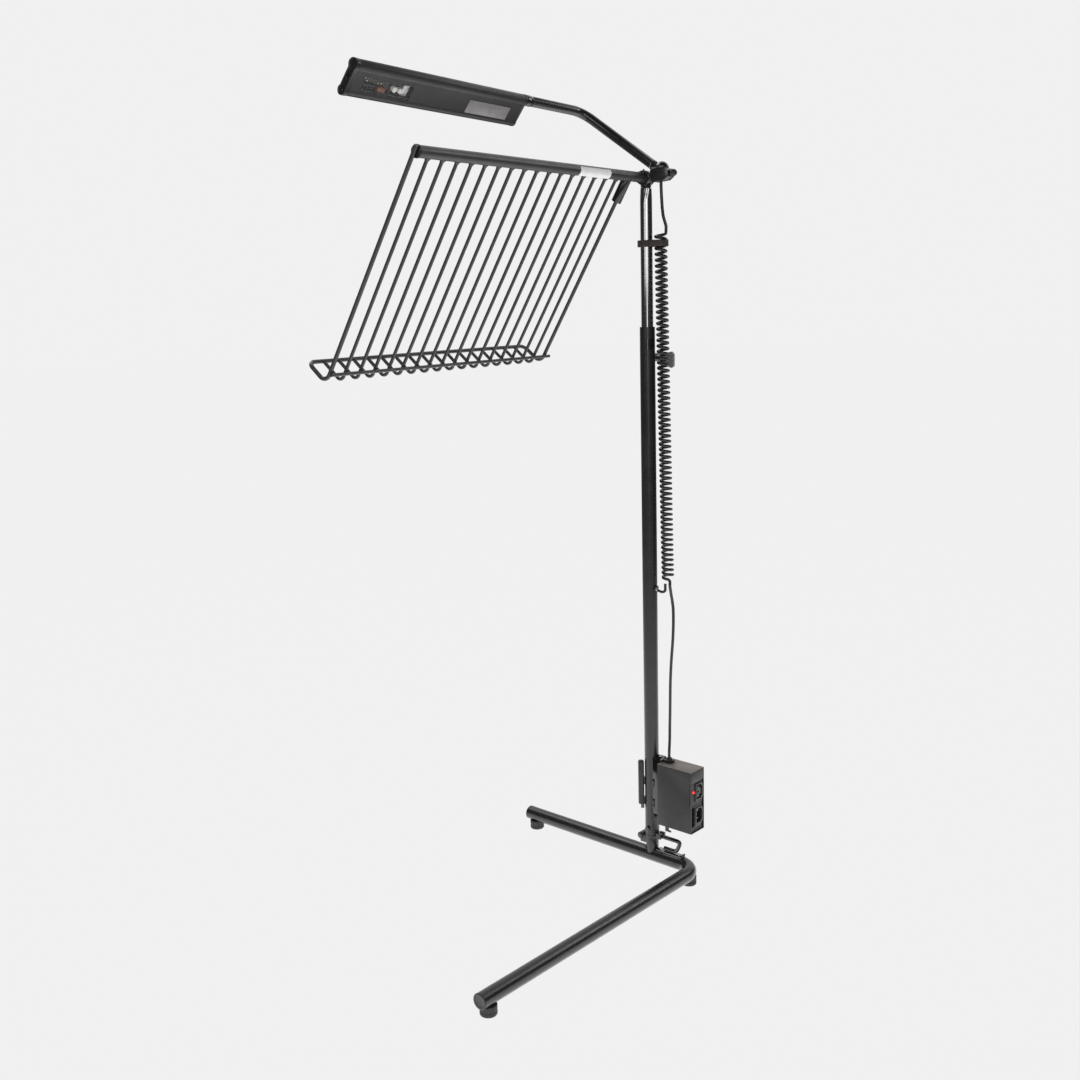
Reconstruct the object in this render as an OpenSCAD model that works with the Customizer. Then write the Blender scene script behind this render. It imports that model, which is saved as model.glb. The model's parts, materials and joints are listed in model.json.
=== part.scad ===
// Folding music stand with its own lamp, curly cord and power box.
// Lengths are in millimetres, +Z is up and the floor is at Z = 0.
// The origin is the centre of the corner foot's underside. The front leg runs
// along +X and the back leg along -Y. The mast stands on the back leg.

/* [Base] */
// Outside diameter of the bent base tube
base_tube_d = 25; // [20:0.5:30]
// Wall thickness of the base tube
base_wall = 1.5; // [1:0.1:3]
// Front leg, from the corner of the centre lines to the tube's end
front_leg_len = 533; // [400:1:700]
// Back leg, from the corner of the centre lines to the tube's end
back_leg_len = 388; // [300:1:500]
// Bend radius of the base tube, on its centre line
base_bend_r = 34; // [28:1:44]
// Distance from the corner of the centre lines to the mast
mast_from_corner = 95; // [88:1:130]
// Height of the rubber feet under the tube
foot_h = 14.5; // [8:0.5:30]
// Diameter of the rubber feet
foot_d = 26; // [18:1:34]
// Inset of the corner foot from both centre lines
corner_foot_inset = 10; // [6:1:14]
// Distance from a leg's end to the middle of its foot
end_foot_inset = 16; // [14:1:60]
// Thickness of the plugs' heads in the leg ends
end_plug_head = 2; // [1:0.5:4]

/* [Folding hinge] */
// Diameter of the post between base tube and mast
post_d = 22; // [18:0.5:24]
// Height of the hinge line where post and mast meet
hinge_split_z = 61.7; // [58:0.1:70]
// Distance of the hinge pin behind the mast's centre line
hinge_offset = 19; // [18:0.5:24]
// Diameter of the hinge pin
hinge_pin_d = 6; // [4:0.5:7]
// Outside diameter of the hinge knuckles
knuckle_d = 12.5; // [11:0.5:13]
// Length of the middle knuckle along the pin
knuckle_mid_len = 8; // [6:0.5:10]
// Length of each outer knuckle along the pin
knuckle_side_len = 6; // [4:0.5:8]
// Height of the foot bolt that holds the hinge shoe in the mast
shoe_bolt_z = 79; // [76:1:90]
// Diameter of the foot bolt
shoe_bolt_d = 5; // [4:0.5:6]
// Width of the keeper strip on the base tube
keeper_w = 12; // [8:0.5:14]
// Height of the keeper strip over the base tube
keeper_t = 1.5; // [1:0.5:3]
// Distance of the keeper strip's far end from the mast
keeper_end = 66; // [62:1:74]
// Diameter of the release lever's rod
release_d = 6.5; // [5:0.5:8]
// Reach of the release lever from the mast's centre line
release_reach = 59; // [50:1:64]

/* [Lower mast] */
// Outside diameter of the lower mast tube
lower_tube_d = 25; // [23.5:0.5:28]
// Wall thickness of the lower mast tube
lower_wall = 1.5; // [1:0.1:2]
// Height of the lower tube's top end
lower_top_z = 949; // [900:1:1000]
// Height of the clamp lever
clamp_z = 900; // [860:1:910]
// Length of the clamp boss out from the tube
clamp_boss_len = 14; // [10:1:20]
// Length of the clamp lever's paddle
clamp_paddle_len = 31; // [20:1:45]
// Height of the cable hook's rivet
hook_z = 512; // [505:1:515]

/* [Upper mast] */
// Outside diameter of the upper mast tube
upper_tube_d = 20; // [18:0.5:21]
// Wall thickness of the upper mast tube
upper_wall = 1.5; // [1:0.1:2]
// Height of the upper tube's lower end at rest
upper_bottom_z = 650; // [560:1:720]
// Height where the upper tube ends and the neck begins
neck_z = 1148; // [1140:1:1150]
// Radial running clearance of sliding and turning parts
running_gap = 0.06; // [0.02:0.01:0.09]
// Height of the strap that holds the curly cord's top
strap_z = 1077.5; // [1074:0.5:1082]
// Width of the strap
strap_w = 10.5; // [8:0.5:12]

/* [Head] */
// Turn of the head on the mast at rest
head_yaw = 5.6; // [-20:0.2:20]
// Slope of the head block, up from the mast
block_tilt = 5; // [0:0.5:8]
// Height of the desk tube's centre line
desk_axis_z = 1185; // [1183:0.5:1190]
// Outside diameter of the tilt sleeve
sleeve_d = 23; // [20.5:0.5:24]
// Width of the tilt sleeve along the desk tube
sleeve_w = 20; // [16:1:24]
// Thickness of the head block
block_t = 19; // [16:0.5:22]
// End of the head block from the mast's centre line
block_end = 46; // [44:1:50]
// Distance of the arm pivot from the mast's centre line
arm_pivot_y = 31; // [30:0.5:33]
// Diameter of the arm pivot screw
arm_pivot_d = 6; // [5:0.5:8]

/* [Desk] */
// Outside diameter of the desk tube
desk_tube_d = 16; // [14:0.5:17]
// Wall thickness of the desk tube
desk_wall = 1.5; // [1:0.1:2.5]
// Distance from the mast to the nearest wire of the desk
desk_start = 52.8; // [48:0.2:60]
// Width of the desk between its two outer wires
desk_w = 499; // [400:1:600]
// Length of the desk's wires from tube to lip bend
desk_drop = 343; // [260:1:400]
// Lean of the desk from the vertical
desk_lean = 31.7; // [20:0.1:45]
// Number of inner wires
inner_wires = 16; // [8:1:20]
// Diameter of the inner wires
wire_d = 5; // [3.5:0.5:6]
// Diameter of the outer wire frame
frame_wire_d = 6; // [5:0.5:8]
// Depth of the lip that holds the music
lip_depth = 43.9; // [30:0.1:60]
// Lean of the lip back towards the page
lip_lean = 8.8; // [0:0.2:15]
// Radius of the bends in the outer frame
frame_bend_r = 12; // [8:1:16]
// Height of the cross rod over the lip bend
cross_rod_up = 17; // [14:1:60]
// Diameter of the stub at the last wire
stub_d = 16; // [10:1:18]
// Length of the stub
stub_len = 36; // [20:1:60]

/* [Arm and lamp] */
// Diameter of the arm tube
arm_d = 15.5; // [12:0.5:16.5]
// Wall thickness of the arm tube
arm_wall = 1.2; // [1:0.1:1.6]
// Forward reach of the lamp's axis from the mast
arm_reach = 121; // [90:1:160]
// Height of the lamp's axis
lamp_axis_z = 1298.3; // [1260:1:1330]
// Bend radius of the arm
arm_bend_r = 24; // [18:1:30]
// Rise of the lamp towards its free end
lamp_rise = 0.9; // [0:0.1:3]
// Lean of the lamp's panel from the vertical
lamp_lean = 38.4; // [0:0.2:60]
// Distance from the arm's bend to the lamp
lamp_start = 157; // [120:0.1:180]
// Length of the lamp's housing
lamp_len = 363.2; // [300:0.1:450]
// Radius of the round upper edge of the housing
lobe_r = 8; // [7.8:0.1:10]
// Distance between the round upper edge and the lower lip
lamp_drop = 37.5; // [34:0.1:46]
// Radius of the lower lip
lip_r = 6.7; // [6.2:0.1:8]
// Depth of the panel behind the lamp's axis
panel_back = 5.2; // [4.5:0.1:6]
// Depth of the panel in front of the lamp's axis
panel_front = 6; // [4.5:0.1:6]
// Wall thickness of the housing
lamp_wall = 1.4; // [1:0.1:2]
// Thickness of the free end's cap
end_cap_t = 8; // [5:0.5:12]
// Travel of the push switch
switch_travel = 1.2; // [0.5:0.1:2]

/* [Power box] */
// Thickness of the box
box_t = 38; // [34:1:50]
// Depth of the box away from the mast
box_depth = 71; // [66:1:90]
// Height of the box
box_h = 111; // [108:1:140]
// Height of the box's underside
box_z = 95; // [90:1:100]
// Sheet thickness of the box
box_wall = 1.5; // [1:0.1:2]
// Distance from the mast to the box
box_start = 24; // [20:0.5:28]
// Middle of the box across the mast
box_mid_x = -2.5; // [-4:0.5:2]

/* [Cords] */
// Diameter of the cord
cord_d = 5; // [4:0.5:5.5]
// Outside diameter of the curly cord
curl_d = 21.4; // [17:0.2:23]
// Number of curls
curls = 63.7; // [40:0.1:68]

/* [Hidden] */
$fn = 48;

// Play left between parts that are pushed or laid together
seat_gap = 0.3;
// Extra length of a cut past the face that it opens
cut = 1;
// A bend is this much thicker than the straight rods that run into it by bend_lap
bend_step = 0.1;
bend_lap = 0.05;

leg_z = foot_h + base_tube_d / 2;
leg_top_z = leg_z + base_tube_d / 2;
mast_x = -corner_foot_inset;
mast_y = corner_foot_inset - mast_from_corner;
back_end_y = mast_from_corner - back_leg_len;

hinge_z = hinge_split_z - 1.7;
knuckle_bore_d = hinge_pin_d + 2 * running_gap;
pin_len = knuckle_mid_len + 2 * knuckle_side_len + 2 * seat_gap;

shoe_flange_h = 4;
lower_foot_z = hinge_split_z + seat_gap + shoe_flange_h;
lower_bore_d = lower_tube_d - 2 * lower_wall;
shoe_plug_h = shoe_bolt_z - lower_foot_z + 10;
release_rod_z = leg_top_z + keeper_t + seat_gap + release_d / 2;
release_pivot_z = hinge_split_z + seat_gap + 3.5;
release_pivot_y = lower_tube_d / 2 + 5.2;
release_pin_d = 4;
lug_gap = release_d + 2 * seat_gap;

upper_bore_d = upper_tube_d - 2 * upper_wall;
collar_len = 40;
glide_len = 30;
neck_top_z = desk_axis_z - sleeve_d / 2 - 3;
stem_d = 10;
stem_len = 40;

wire_pitch = desk_w / (inner_wires + 1);
desk_end = desk_start + desk_w;
desk_tube_end = desk_end - frame_wire_d / 2 - 3.4;
wire_bend_r = 8;
stub_bottom = desk_tube_d / 2 + stub_len;

arm_plate_t = 3.2;
// Underside of the arm's plate, over the head block's axis
arm_plate_low = block_t / 2 + seat_gap;
arm_plate_w = 22;
arm_foot_y = 15;
arm_foot_z = desk_axis_z + arm_plate_low + arm_plate_t + 5;
spigot_d = 12;
collar_t = 15;
lamp_end = lamp_start + lamp_len;
cavity_low = -lamp_drop + lip_r + 0.5;
cavity_high = -lobe_r - 1;

box_x0 = box_mid_x - box_t / 2;
box_x1 = box_mid_x + box_t / 2;
box_y1 = box_start + box_depth;
box_top = box_z + box_h;
end_panel_y = box_y1 - 2 * box_wall - seat_gap;
flap_h = 20;
socket_w = 16.5;
socket_h = 25;
socket_depth = 18;
outlet_x = box_x0 + box_wall + 11.7;
outlet_z = box_z + 71;
inlet_x = box_x0 + box_wall + 12;
inlet_z = box_z + 28;
inlet_cut_w = 32;
inlet_cut_h = 41;
lens_x = box_x1 - 7.5;
lens_z = box_z + 74;
gland_x = -3;
gland_y = box_start + 11.5;

// Direction from the mast to the hanging cord
cord_side = 107;
cord_dir = [cos(cord_side), sin(cord_side), 0];
// Middle line of the curls: distance from the mast's centre line, and height
curl_top = [24.2, 1097.5];
curl_bottom = [32.3, 531];
curl_r = (curl_d - cord_d) / 2;
// Side of the middle line where the lowest curl ends
curl_bottom_a = 25;
rings_per_curl = 8;
ring_count = round(rings_per_curl * curls);
// Radius of the turn from the curls into a straight end, and that end's length
curl_exit_r = 5;
curl_exit_len = 2;

// Distance of the head lead's hole along the head block
head_exit_y = 27.5;
// Routes of the two free leads, measured from the mast's centre line, from top to bottom
head_lead_route = [
    [-2.8, 28.1, 1179],
    [-2.8, 28.1, 1171],
    [-3.1, 28.5, 1156],
    [-4, 28.8, 1141],
    [-4.9, 29.1, 1132],
    [-6.1, 29.6, 1124],
    [-7.8, 31.1, 1116],
    [-9, 32.6, 1109],
    [-9, 32.6, 1104.5]
];
box_lead_route = [
    [-4.1, 38.9, 524],
    [-4.1, 38.9, 519],
    [-7.5, 38.6, 505],
    [-10.5, 38.8, 492],
    [-12, 39.5, 478],
    [-12.2, 39.7, 462],
    [-12, 39.5, 445],
    [-11.7, 38.3, 420],
    [-11, 36.4, 395],
    [-10.6, 34.8, 370],
    [-10.3, 33.8, 345],
    [-10.2, 33.3, 320],
    [-10, 33, 295],
    [-9, 33, 270],
    [-6.5, 34.3, 245],
    [-3.4, 35.4, 226],
    [-3, 35.5, 215],
    [-3, 35.5, 204]
];

function unit(v) = v / norm(v);
function lerp(a, b, t) = a + (b - a) * t;
function corner_turn(a, b, c) = acos(unit(b - a) * unit(c - b));
function corner_cut(a, b, c, r) = r * tan(corner_turn(a, b, c) / 2);
// The same path with both ends pushed out by e
function longer(pts, e) = let (n = len(pts)) [
    for (i = [0:n - 1])
        i == 0 ? pts[0] - e * unit(pts[1] - pts[0])
        : i == n - 1 ? pts[i] + e * unit(pts[i] - pts[i - 1])
        : pts[i]
];

// Places
module at_mast() {
    translate([mast_x, mast_y, 0]) children();
}

module in_head() {
    at_mast() rotate([0, 0, head_yaw]) children();
}

// Head block frame: Y along the block, out of the tilt sleeve
module in_block() {
    in_head() translate([0, 0, desk_axis_z]) rotate([block_tilt, 0, 0]) children();
}

// Desk frame: X along the desk tube, -Z down the wires, -Y out of the page side
module in_desk() {
    in_head() translate([0, 0, desk_axis_z]) rotate([-desk_lean, 0, 0]) children();
}

// Lamp frame: X along the bar from the arm's bend, -Z to the lip, +Y out of the lit face
module in_lamp() {
    in_head()
        translate([0, -arm_reach, lamp_axis_z])
            rotate([0, -lamp_rise, 0])
                rotate([-lamp_lean, 0, 0])
                    children();
}

// Shapes that repeat
module rod(a, b, d) {
    v = b - a;
    translate(a) rotate([0, acos(v.z / norm(v)), atan2(v.y, v.x)]) cylinder(h = norm(v), d = d);
}

module elbow(a, b, c, d, r) {
    u = unit(b - a);
    axis = unit(cross(u, unit(c - b)));
    inward = unit(cross(axis, u));
    middle = b - corner_cut(a, b, c, r) * u + r * inward;
    multmatrix([
        [-inward.x, u.x, axis.x, middle.x],
        [-inward.y, u.y, axis.y, middle.y],
        [-inward.z, u.z, axis.z, middle.z],
        [0, 0, 0, 1]
    ])
        rotate_extrude(angle = corner_turn(a, b, c)) translate([r, 0]) circle(d = d);
}

// Round rod through points, each corner rounded to radius r on its centre line
module bent_rod(pts, d, r) {
    n = len(pts);
    for (i = [0:n - 2]) {
        u = unit(pts[i + 1] - pts[i]);
        near = i == 0 ? 0 : corner_cut(pts[i - 1], pts[i], pts[i + 1], r) - bend_lap;
        far = i == n - 2 ? 0 : corner_cut(pts[i], pts[i + 1], pts[i + 2], r) - bend_lap;
        rod(pts[i] + near * u, pts[i + 1] - far * u, d);
    }
    for (i = [1:1:n - 2]) elbow(pts[i - 1], pts[i], pts[i + 1], d + bend_step, r);
}

// Cylinder along X between two places
module bar_x(x0, x1, d) {
    translate([x0, 0, 0]) rotate([0, 90, 0]) cylinder(h = x1 - x0, d = d);
}

// Cylinder along +Y between two places
module bar_y(y0, y1, d) {
    translate([0, y0, 0]) rotate([-90, 0, 0]) cylinder(h = y1 - y0, d = d);
}

// Box between two corners
module block(low, high) {
    translate(low) cube(high - low);
}

// Thin sheet wrapped on a tube along Z, from angle a0 to a1
module wrapped_sheet(tube_d, t, h, a0, a1) {
    rotate([0, 0, a0]) rotate_extrude(angle = a1 - a0) translate([tube_d / 2, 0]) square([t, h]);
}

// Unbroken round tube through rings, one ring per path point
module swept_tube(path, d, sides) {
    n = len(path);
    side = [
        for (i = 0, s = start_side(path); i < n; s = next_side(path, i, s), i = i + 1) s
    ];
    points = [
        for (i = [0:n - 1], k = [0:sides - 1])
            let (s = side[i], w = cross(path_dir(path, i), s), a = 360 * k / sides)
                path[i] + d / 2 * (cos(a) * s + sin(a) * w)
    ];
    faces = concat(
        [for (k = [1:sides - 2]) [0, k + 1, k]],
        [for (k = [1:sides - 2]) let (e = (n - 1) * sides) [e, e + k, e + k + 1]],
        [
            for (i = [0:n - 2], k = [0:sides - 1], half = [0, 1])
                let (a = i * sides + k, b = i * sides + (k + 1) % sides)
                    half == 0 ? [a, b, b + sides] : [a, b + sides, a + sides]
        ]
    );
    polyhedron(points = points, faces = [for (f = faces) [f[0], f[2], f[1]]]);
}

function path_dir(p, i) =
    i == 0 ? unit(p[1] - p[0])
    : i == len(p) - 1 ? unit(p[i] - p[i - 1])
    : unit(unit(p[i] - p[i - 1]) + unit(p[i + 1] - p[i]));
function start_side(p) =
    let (u = path_dir(p, 0), ref = abs(u.z) > 0.9 ? [1, 0, 0] : [0, 0, 1]) unit(ref - (ref * u) * u);
// Side direction carried to the next ring with no twist
function next_side(p, i, s) =
    let (u = path_dir(p, min(i + 1, len(p) - 1))) unit(s - (s * u) * u);

// Base
leg_path = [
    [front_leg_len, mast_from_corner, leg_z],
    [0, mast_from_corner, leg_z],
    [0, back_end_y, leg_z]
];

// Centres of the three feet, from the mast
foot_places = [
    [corner_foot_inset, mast_from_corner - corner_foot_inset],
    [front_leg_len - end_foot_inset, mast_from_corner],
    [0, back_end_y + end_foot_inset]
];
foot_stud_d = 4;

module base_tube() {
    color("dimgray") at_mast() difference() {
        bent_rod(leg_path, base_tube_d, base_bend_r);
        bent_rod(longer(leg_path, cut), base_tube_d - 2 * base_wall, base_bend_r);
        for (p = foot_places) translate([p.x, p.y, 0]) cylinder(h = leg_z, d = foot_stud_d + 2 * running_gap);
    }
}

module end_plug() {
    bar_x(0, end_plug_head, base_tube_d);
    bar_x(-12, 0, base_tube_d - 2 * base_wall - 2 * running_gap);
}

module base_end_plugs() {
    color("dimgray") at_mast() {
        translate(leg_path[0]) end_plug();
        translate(leg_path[2]) rotate([0, 0, -90]) end_plug();
    }
}

stud_head_d = 12;
stud_head_h = 3;
stud_head_z = 4;

module rubber_feet() {
    color("black") at_mast() difference() {
        for (p = foot_places) translate([p.x, p.y, 0]) {
            cylinder(h = 2, d1 = foot_d - 2, d2 = foot_d);
            translate([0, 0, 2]) cylinder(h = foot_h, d = foot_d);
        }
        bent_rod(longer(leg_path, cut), base_tube_d, base_bend_r);
        for (p = foot_places) translate([p.x, p.y, stud_head_z]) {
            cylinder(h = leg_z, d = foot_stud_d + 2 * running_gap);
            cylinder(h = stud_head_h, d = stud_head_d);
        }
        translate([-foot_d, back_end_y - cut, leg_z]) cube([2 * foot_d, back_leg_len, foot_h]);
        translate([0, mast_from_corner - foot_d, leg_z]) cube([front_leg_len + cut, 2 * foot_d, foot_h]);
    }
}

// Threaded studs moulded into the feet and screwed into the tube
module foot_studs() {
    color("silver") at_mast() for (p = foot_places) translate([p.x, p.y, stud_head_z]) {
        cylinder(h = stud_head_h, d = stud_head_d);
        cylinder(h = foot_h + 1, d = foot_stud_d);
    }
}

// Hinge between base and mast
module knuckle(x0, x1) {
    translate([0, -hinge_offset, hinge_z]) bar_x(x0, x1, knuckle_d);
}

module hinge_post() {
    side0 = knuckle_mid_len / 2 + seat_gap;
    side1 = side0 + knuckle_side_len;
    web_h = knuckle_d / 2 + 4;
    color("dimgray") at_mast() difference() {
        union() {
            translate([0, 0, leg_z]) cylinder(h = hinge_split_z - leg_z, d = post_d);
            for (side = [0, 1]) mirror([side, 0, 0]) {
                knuckle(side0, side1);
                block([side0, -hinge_offset, hinge_z - web_h], [side1, -3, hinge_split_z]);
            }
        }
        translate([0, back_end_y, leg_z]) bar_y(0, back_leg_len, base_tube_d);
        translate([0, -hinge_offset, hinge_z]) bar_x(-side1 - cut, side1 + cut, knuckle_bore_d);
    }
}

module hinge_pin() {
    head = 1.5;
    color("silver") at_mast() translate([0, -hinge_offset, hinge_z]) {
        bar_x(-pin_len / 2 - 0.5, pin_len / 2 + seat_gap, hinge_pin_d);
        bar_x(pin_len / 2 + seat_gap, pin_len / 2 + seat_gap + head, hinge_pin_d + 3);
    }
}

module keeper_strip() {
    tab_t = 2.5;
    tab_h = 7;
    color("dimgray") at_mast() difference() {
        union() {
            block(
                [-keeper_w / 2, post_d / 2 + 1, leg_z + 8],
                [keeper_w / 2, keeper_end, leg_top_z + keeper_t]
            );
            block(
                [-keeper_w / 2, keeper_end - tab_t, leg_z + 8],
                [keeper_w / 2, keeper_end, leg_top_z + keeper_t + tab_h]
            );
        }
        bent_rod(leg_path, base_tube_d, base_bend_r);
    }
}

module mast_shoe() {
    lug_t = 4;
    lug_top = release_pivot_z + 6;
    color("dimgray") at_mast() difference() {
        union() {
            translate([0, 0, hinge_split_z + seat_gap]) cylinder(h = shoe_flange_h, d = lower_tube_d + 1);
            translate([0, 0, lower_foot_z]) cylinder(h = shoe_plug_h, d = lower_bore_d - 2 * running_gap);
            knuckle(-knuckle_mid_len / 2, knuckle_mid_len / 2);
            block(
                [-knuckle_mid_len / 2, -hinge_offset, hinge_split_z + seat_gap],
                [knuckle_mid_len / 2, 0, lower_foot_z]
            );
            for (side = [-1, 1]) block(
                [side * (lug_gap + lug_t) / 2 - lug_t / 2, 8, hinge_split_z + seat_gap],
                [side * (lug_gap + lug_t) / 2 + lug_t / 2, release_pivot_y + 5, lower_foot_z]
            );
            for (side = [-1, 1]) block(
                [side * (lug_gap + lug_t) / 2 - lug_t / 2, lower_tube_d / 2 + seat_gap, hinge_split_z + seat_gap],
                [side * (lug_gap + lug_t) / 2 + lug_t / 2, release_pivot_y + 5, lug_top]
            );
        }
        translate([0, -hinge_offset, hinge_z]) bar_x(-20, 20, knuckle_bore_d);
        for (side = [0, 1]) mirror([side, 0, 0]) {
            x0 = knuckle_mid_len / 2;
            translate([0, -hinge_offset, hinge_z]) bar_x(x0, x0 + knuckle_side_len + 1, knuckle_d + 1);
        }
        translate([0, 0, shoe_bolt_z]) bar_x(-20, 20, shoe_bolt_d + 2 * running_gap);
        translate([0, release_pivot_y, release_pivot_z]) bar_x(-20, 20, release_pin_d + 2 * running_gap);
    }
}

module shoe_bolt() {
    head_h = 3.5;
    outer = lower_tube_d / 2;
    color("black") at_mast() translate([0, 0, shoe_bolt_z]) {
        bar_x(-outer - 6, outer + 0.2, shoe_bolt_d);
        bar_x(outer + 0.2, outer + 0.2 + head_h, 9);
        difference() {
            rotate([0, -90, 0]) translate([0, 0, outer + 0.2]) cylinder(h = 4, d = 9.2, $fn = 6);
            bar_x(-outer - 10, 0, shoe_bolt_d);
        }
    }
}

// Bent-wire lever that lifts off the keeper strip to free the mast
module release_lever() {
    root = [0, release_pivot_y, release_pivot_z];
    path = [
        root,
        [0, release_reach, release_pivot_z],
        [0, release_reach - 5, release_rod_z],
        [0, release_reach - 13, release_rod_z]
    ];
    color("black") at_mast() {
        bent_rod(path, release_d, 6);
        translate(root) bar_x(-lug_gap / 2 - 3.7, lug_gap / 2 + 3.7, release_pin_d);
        translate(root) bar_x(-(lug_gap / 2 - 0.15), lug_gap / 2 - 0.15, release_d + 2);
    }
}

// Lower mast
module lower_tube() {
    color("dimgray") at_mast() difference() {
        translate([0, 0, lower_foot_z]) cylinder(h = lower_top_z - lower_foot_z, d = lower_tube_d);
        translate([0, 0, lower_foot_z - cut])
            cylinder(h = lower_top_z - lower_foot_z + 2 * cut, d = lower_bore_d);
        translate([0, 0, shoe_bolt_z]) bar_x(-20, 20, shoe_bolt_d + 2 * running_gap);
        translate([0, 0, hook_z]) bar_y(0, lower_tube_d, rivet_d + 2 * running_gap);
    }
}

module guide_collar() {
    color("black") at_mast() difference() {
        union() {
            translate([0, 0, lower_top_z - collar_len])
                cylinder(h = collar_len, d = lower_bore_d - 2 * running_gap);
            translate([0, 0, lower_top_z]) cylinder(h = 1.2, d = lower_tube_d - 0.6);
        }
        translate([0, 0, lower_top_z - collar_len - cut])
            cylinder(h = collar_len + 2 + 2 * cut, d = upper_tube_d + 2 * running_gap);
    }
}

clamp_screw_d = 6;
clamp_boss_d = 14;
clamp_face = lower_tube_d / 2 + clamp_boss_len;

module clamp_boss() {
    color("black") at_mast() translate([0, 0, clamp_z]) difference() {
        bar_x(-clamp_face, 0, clamp_boss_d);
        translate([0, 0, -clamp_boss_d]) cylinder(h = 2 * clamp_boss_d, d = lower_tube_d);
        bar_x(-clamp_face - cut, -lower_tube_d / 2 - 1, clamp_screw_d + 2 * running_gap);
    }
}

// Lever whose screw presses on the upper tube
module clamp_lever() {
    hub_x = clamp_face + seat_gap;
    hub_t = 6;
    paddle_t = 4;
    paddle = [
        [0, 5],
        [clamp_paddle_len - 4, 9],
        [clamp_paddle_len, 5],
        [clamp_paddle_len, -15],
        [clamp_paddle_len - 5, -18],
        [0, -5]
    ];
    color("lightgray") at_mast() translate([0, 0, clamp_z]) {
        bar_x(-hub_x - hub_t, -hub_x, 13);
        bar_x(-hub_x, -lower_tube_d / 2 - 2, clamp_screw_d);
        translate([-hub_x - hub_t, 0, 0]) rotate([90, 0, 90]) linear_extrude(paddle_t) polygon(paddle);
    }
}

module tube_sticker() {
    color("whitesmoke") at_mast() translate([0, 0, 914]) wrapped_sheet(lower_tube_d, 0.25, 17, 27, 100);
}

rivet_d = 4;

module hook_rivet() {
    color("silver") at_mast() translate([0, 0, hook_z]) {
        bar_y(lower_bore_d / 2 - 1, hook_plate_y + 1.6, rivet_d);
        bar_y(hook_plate_y + 1.6, hook_plate_y + 3.4, 8);
        bar_y(lower_bore_d / 2 - 2.2, lower_bore_d / 2 - 1, 7);
    }
}

hook_plate_y = lower_tube_d / 2 + 0.2;

// Wire hook that carries the lead under the curly cord
module cable_hook() {
    hook_d = 4.5;
    path = [
        [-2, hook_plate_y + 2.5, hook_z - 3],
        hook_point(22, hook_z - 6),
        hook_point(27.5, hook_z - 4),
        hook_point(27.5, hook_z + 9)
    ];
    color("black") at_mast() difference() {
        union() {
            bent_rod(path, hook_d, 4);
            translate([0, 0, hook_z]) bar_y(hook_plate_y, hook_plate_y + 1.6, 12);
        }
        translate([0, 0, hook_z]) bar_y(0, lower_tube_d, rivet_d + 2 * running_gap);
        translate([0, 0, hook_z]) bar_y(hook_plate_y + 1.6, lower_tube_d, 8.4);
    }
}

// A place out along the cord's direction from the mast
function hook_point(r, z) = r * cord_dir + [0, 0, z];

// Power box
module box_shell() {
    hook_y = box_start + 16;
    groove = 0.6;
    color("dimgray") at_mast() difference() {
        union() {
            difference() {
                block([box_x0 + box_wall, box_start, box_z], [box_x1, box_y1, box_top]);
                block(
                    [box_x0 - cut, box_start + box_wall, box_z + box_wall],
                    [box_x1 - box_wall, box_y1 + cut, box_top - box_wall]
                );
            }
            block(
                [box_x0 + box_wall, box_y1 - box_wall, box_top - flap_h],
                [box_x1, box_y1, box_top]
            );
            block([box_x1 - box_wall, hook_y, box_z - 8], [box_x1, hook_y + 7, box_z + 1]);
            block([box_x1 - box_wall, hook_y, box_z - 8], [box_x1, hook_y + 12, box_z - 5]);
            for (p = screw_places)
                block([box_x0 + box_wall, p[0] - 4, p[1] - 6.6], [box_x0 + box_wall + 2, p[0] + 6.6, p[1] + 6.6]);
        }
        translate([gland_x, gland_y, box_top - 5]) cylinder(h = 10, d = gland_d);
        for (p = screw_places) translate([box_x0, p[0], p[1]]) bar_x(0, 5, box_screw_d + 2 * running_gap);
        block(
            [box_x1 - groove, box_y1 - box_wall - 2, box_top - 60],
            [box_x1 + cut, box_y1 - box_wall - 1, box_top - flap_h]
        );
    }
}

box_screw_d = 3;
screw_places = [
    for (y = [box_start + 8, box_y1 - 28], z = [box_z + 8, box_top - 8]) [y, z]
];

module box_cover() {
    color("dimgray") at_mast() difference() {
        block([box_x0, box_start, box_z], [box_x0 + box_wall, box_y1, box_top]);
        for (p = screw_places) translate([box_x0, p[0], p[1]]) bar_x(-cut, 5, box_screw_d + 2 * running_gap);
    }
}

module box_screws() {
    color("silver") at_mast() for (p = screw_places) translate([box_x0, p[0], p[1]]) {
        bar_x(-2, 0, 6);
        bar_x(-cut, 6, box_screw_d);
    }
}

// Extrusion in the end panel's plane: 2D X along X, 2D Y up, thickness along +Y
module in_panel(x, y, z, t) {
    translate([x, y + t, z]) rotate([90, 0, 0]) linear_extrude(t) children();
}

// Mains socket opening with two cut corners on one side
module socket_outline(grow) {
    w = socket_w / 2 + grow;
    h = socket_h / 2 + grow;
    chamfer = 5;
    polygon([[w, -h], [-w + chamfer, -h], [-w, -h + chamfer], [-w, h - chamfer], [-w + chamfer, h], [w, h]]);
}

module box_end_panel() {
    color("gray") at_mast() difference() {
        block(
            [box_x0 + box_wall + seat_gap, end_panel_y, box_z + box_wall + seat_gap],
            [box_x1 - box_wall - seat_gap, end_panel_y + box_wall, box_top - flap_h + 6]
        );
        in_panel(outlet_x, end_panel_y - cut, outlet_z, box_wall + 2 * cut) socket_outline(2);
        in_panel(socket_mid_x, end_panel_y - cut, inlet_z, box_wall + 2 * cut)
            square([inlet_cut_w + 0.4, inlet_cut_h + 0.4], center = true);
        translate([lens_x, 0, lens_z]) bar_y(end_panel_y - cut, end_panel_y + 5, 5 + 2 * running_gap);
    }
}

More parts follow.
